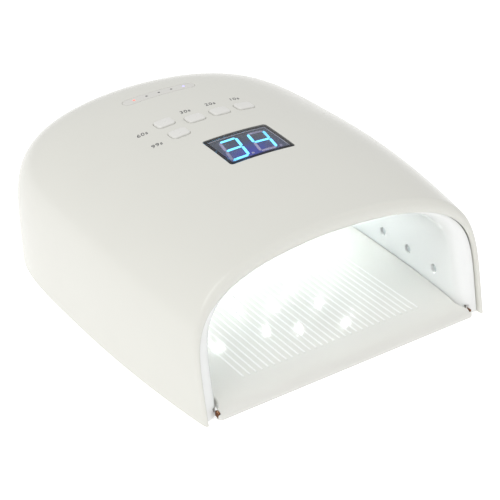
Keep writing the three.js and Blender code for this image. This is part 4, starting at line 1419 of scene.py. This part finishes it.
# %% The other finishes
def metal(name, colour, roughness, patches=0.15, stretch=(1, 12, 1)):
    material, tree, shader = new_shader(name, Metallic=1.0)
    brushed = Wire.node(tree, "ShaderNodeMapping", {},
                        {"Vector": place_on(tree), "Scale": stretch})
    lines = Wire.node(tree, "ShaderNodeTexNoise", {}, {
        "Vector": brushed, "Scale": 700.0, "Detail": 3.0}, "Fac")
    feed(shader, "Base Color", toned(tree, colour, patches, 420, 4, 1.0))
    feed(shader, "Roughness", roughness + (lines - 0.5) * 0.25)
    feed(shader, "Normal", bump(tree, lines, 0.12, 0.03 * MM))
    return material


def rubber(name, colour):
    material, tree, shader = new_shader(name, Specular_IOR_Level=0.3)
    grain = noise(tree, 2500, 3)
    feed(shader, "Base Color", toned(tree, colour, 0.15, 200, 3))
    feed(shader, "Roughness", 0.75 + grain * 0.2)
    feed(shader, "Normal", bump(tree, grain, 0.5, 0.08 * MM))
    return material


def shrink_film(name, colour, band_colour):
    material, tree, shader = new_shader(name, Coat_Roughness=0.1)
    parts = axes_of(tree)
    band = maths("LESS_THAN", maths("ABSOLUTE", parts - 12 * MM), 5 * MM)
    feed(shader, "Base Color", mixed(tree, band, (*colour, 1), (*band_colour, 1)))
    feed(shader, "Roughness", 0.3 + noise(tree, 300, 3) * 0.15)
    feed(shader, "Normal", bump(tree, noise(tree, 260, 2, 4.0), 0.3, 0.1 * MM))
    return material


steel = metal("plated_steel", (0.58, 0.58, 0.59), 0.32)
browned = metal("browned_steel", (0.20, 0.085, 0.04), 0.55, 0.5, (1, 1, 6))
nickel = metal("nickel_plate", (0.62, 0.61, 0.6), 0.22)
rubber_grey = rubber("grey_rubber", (0.11, 0.11, 0.115))
film = shrink_film("battery_film", (0.025, 0.11, 0.30), (0.72, 0.72, 0.72))
holder_black = plastic("holder_black", (0.03, 0.03, 0.034), 0.55, tone=0.2, depth=0.5)
switch_black = plastic("switch_black", (0.025, 0.025, 0.027), 0.4, tone=0.2, depth=0.4)
chip_yellow = plastic("chip_yellow", (0.78, 0.7, 0.38), 0.25)
display_black = plastic("display_black", (0.035, 0.036, 0.042), 0.45, tone=0.15, depth=0.4)
print("finishes for the hidden pieces")

# %% [markdown]
# ## Dressing the frame
# Each piece of the frame gets the material of the longest name that it starts with. Those that
# a finer piece stands for are hidden, but they are dressed too.

# %% Dress the frame's own pieces
DRESS = {
    "bottom_cover": cover_plastic, "rear_foot": rubber_grey, "front_foot": rubber_grey,
    "cover_screw": steel, "board_screw": steel, "tray_magnet": nickel, "mouth_magnet": nickel,
    "keeper": browned, "tray_pad": rubber_grey, "display_module": display_black,
    "tact_switch": switch_black, "indicator_led": chip_yellow,
    "control_board": green_board_skin, "led_board": led_board_skin, "battery_cell": film,
    "battery_holder": holder_black, "charging_inlet": steel, "outer_shell": shell_plastic,
    "reflector_liner": liner_plastic, "base_tray": tray_plastic, "display_window": window_skin,
    "button": button_plastic, "indicator_strip": strip_plastic, "hand_sensor": sensor_skin,
}
for name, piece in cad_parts.items():
    start = max((key for key in DRESS if name.startswith(key)), key=len)
    piece.data.materials.clear()
    piece.data.materials.append(DRESS[start])
print(len(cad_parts), "frame pieces dressed")

# %% [markdown]
# ## The studio
# The lamp stands on a plain pale floor in soft even light. A white world lights it from every
# side, and two large area lights add a gentle direction, so that the left side is a little
# brighter than the roof. The Standard view keeps white plastic white.

# %% Floor, light and camera
scene = bpy.context.scene
scene.view_settings.view_transform = "Standard"
world = bpy.data.worlds.new("studio")
scene.world = world
world.use_nodes = True
backdrop = world.node_tree.nodes["Background"]
backdrop.inputs["Color"].default_value = (1, 1, 1, 1)
backdrop.inputs["Strength"].default_value = 0.69

floor_material, floor_tree, floor_shader = new_shader("studio_floor", Roughness=0.6,
                                                      Emission_Strength=0.5)
feed(floor_shader, "Base Color", mixed(floor_tree, noise(floor_tree, 4),
                                       (0.8, 0.8, 0.8, 1), (0.84, 0.84, 0.84, 1)))
floor_shader.inputs["Emission Color"].default_value = (1, 1, 1, 1)
FLOOR_SIZE = 6.0
floor_body = block((-FLOOR_SIZE, FLOOR_SIZE), (-FLOOR_SIZE, FLOOR_SIZE), (-0.02, 0))
floor = as_object("floor", floor_body)
floor.data.materials.append(floor_material)

LIT_POINT = Vector((0, 0, 0.05))


def soft_light(name, place, size, power, colour):
    data = bpy.data.lights.new(name, "AREA")
    data.shape = "DISK"
    data.size = size
    data.energy = power
    data.color = colour
    light = add_object(name, data)
    light.location = place
    light.rotation_euler = (LIT_POINT - Vector(place)).to_track_quat("-Z", "Y").to_euler()


soft_light("key", (-0.7, -0.3, 1.3), 1.2, 7.5, (1, 0.998, 0.97))
soft_light("fill", (0.3, -1.7, 1.0), 1.0, 0.5, (0.97, 0.98, 1))

camera_data = bpy.data.cameras.new("camera")
camera_data.lens = 95.48
camera_data.sensor_width = 36
camera = add_object("camera", camera_data)
camera.location = (-379.4 * MM, -575.2 * MM, 418.1 * MM)
look_at = Vector((13.75 * MM, 0, 12 * MM))
camera.rotation_euler = (look_at - camera.location).to_track_quat("-Z", "Y").to_euler()
scene.camera = camera
print("camera", round((camera.location - look_at).length, 3), "m from the lamp")
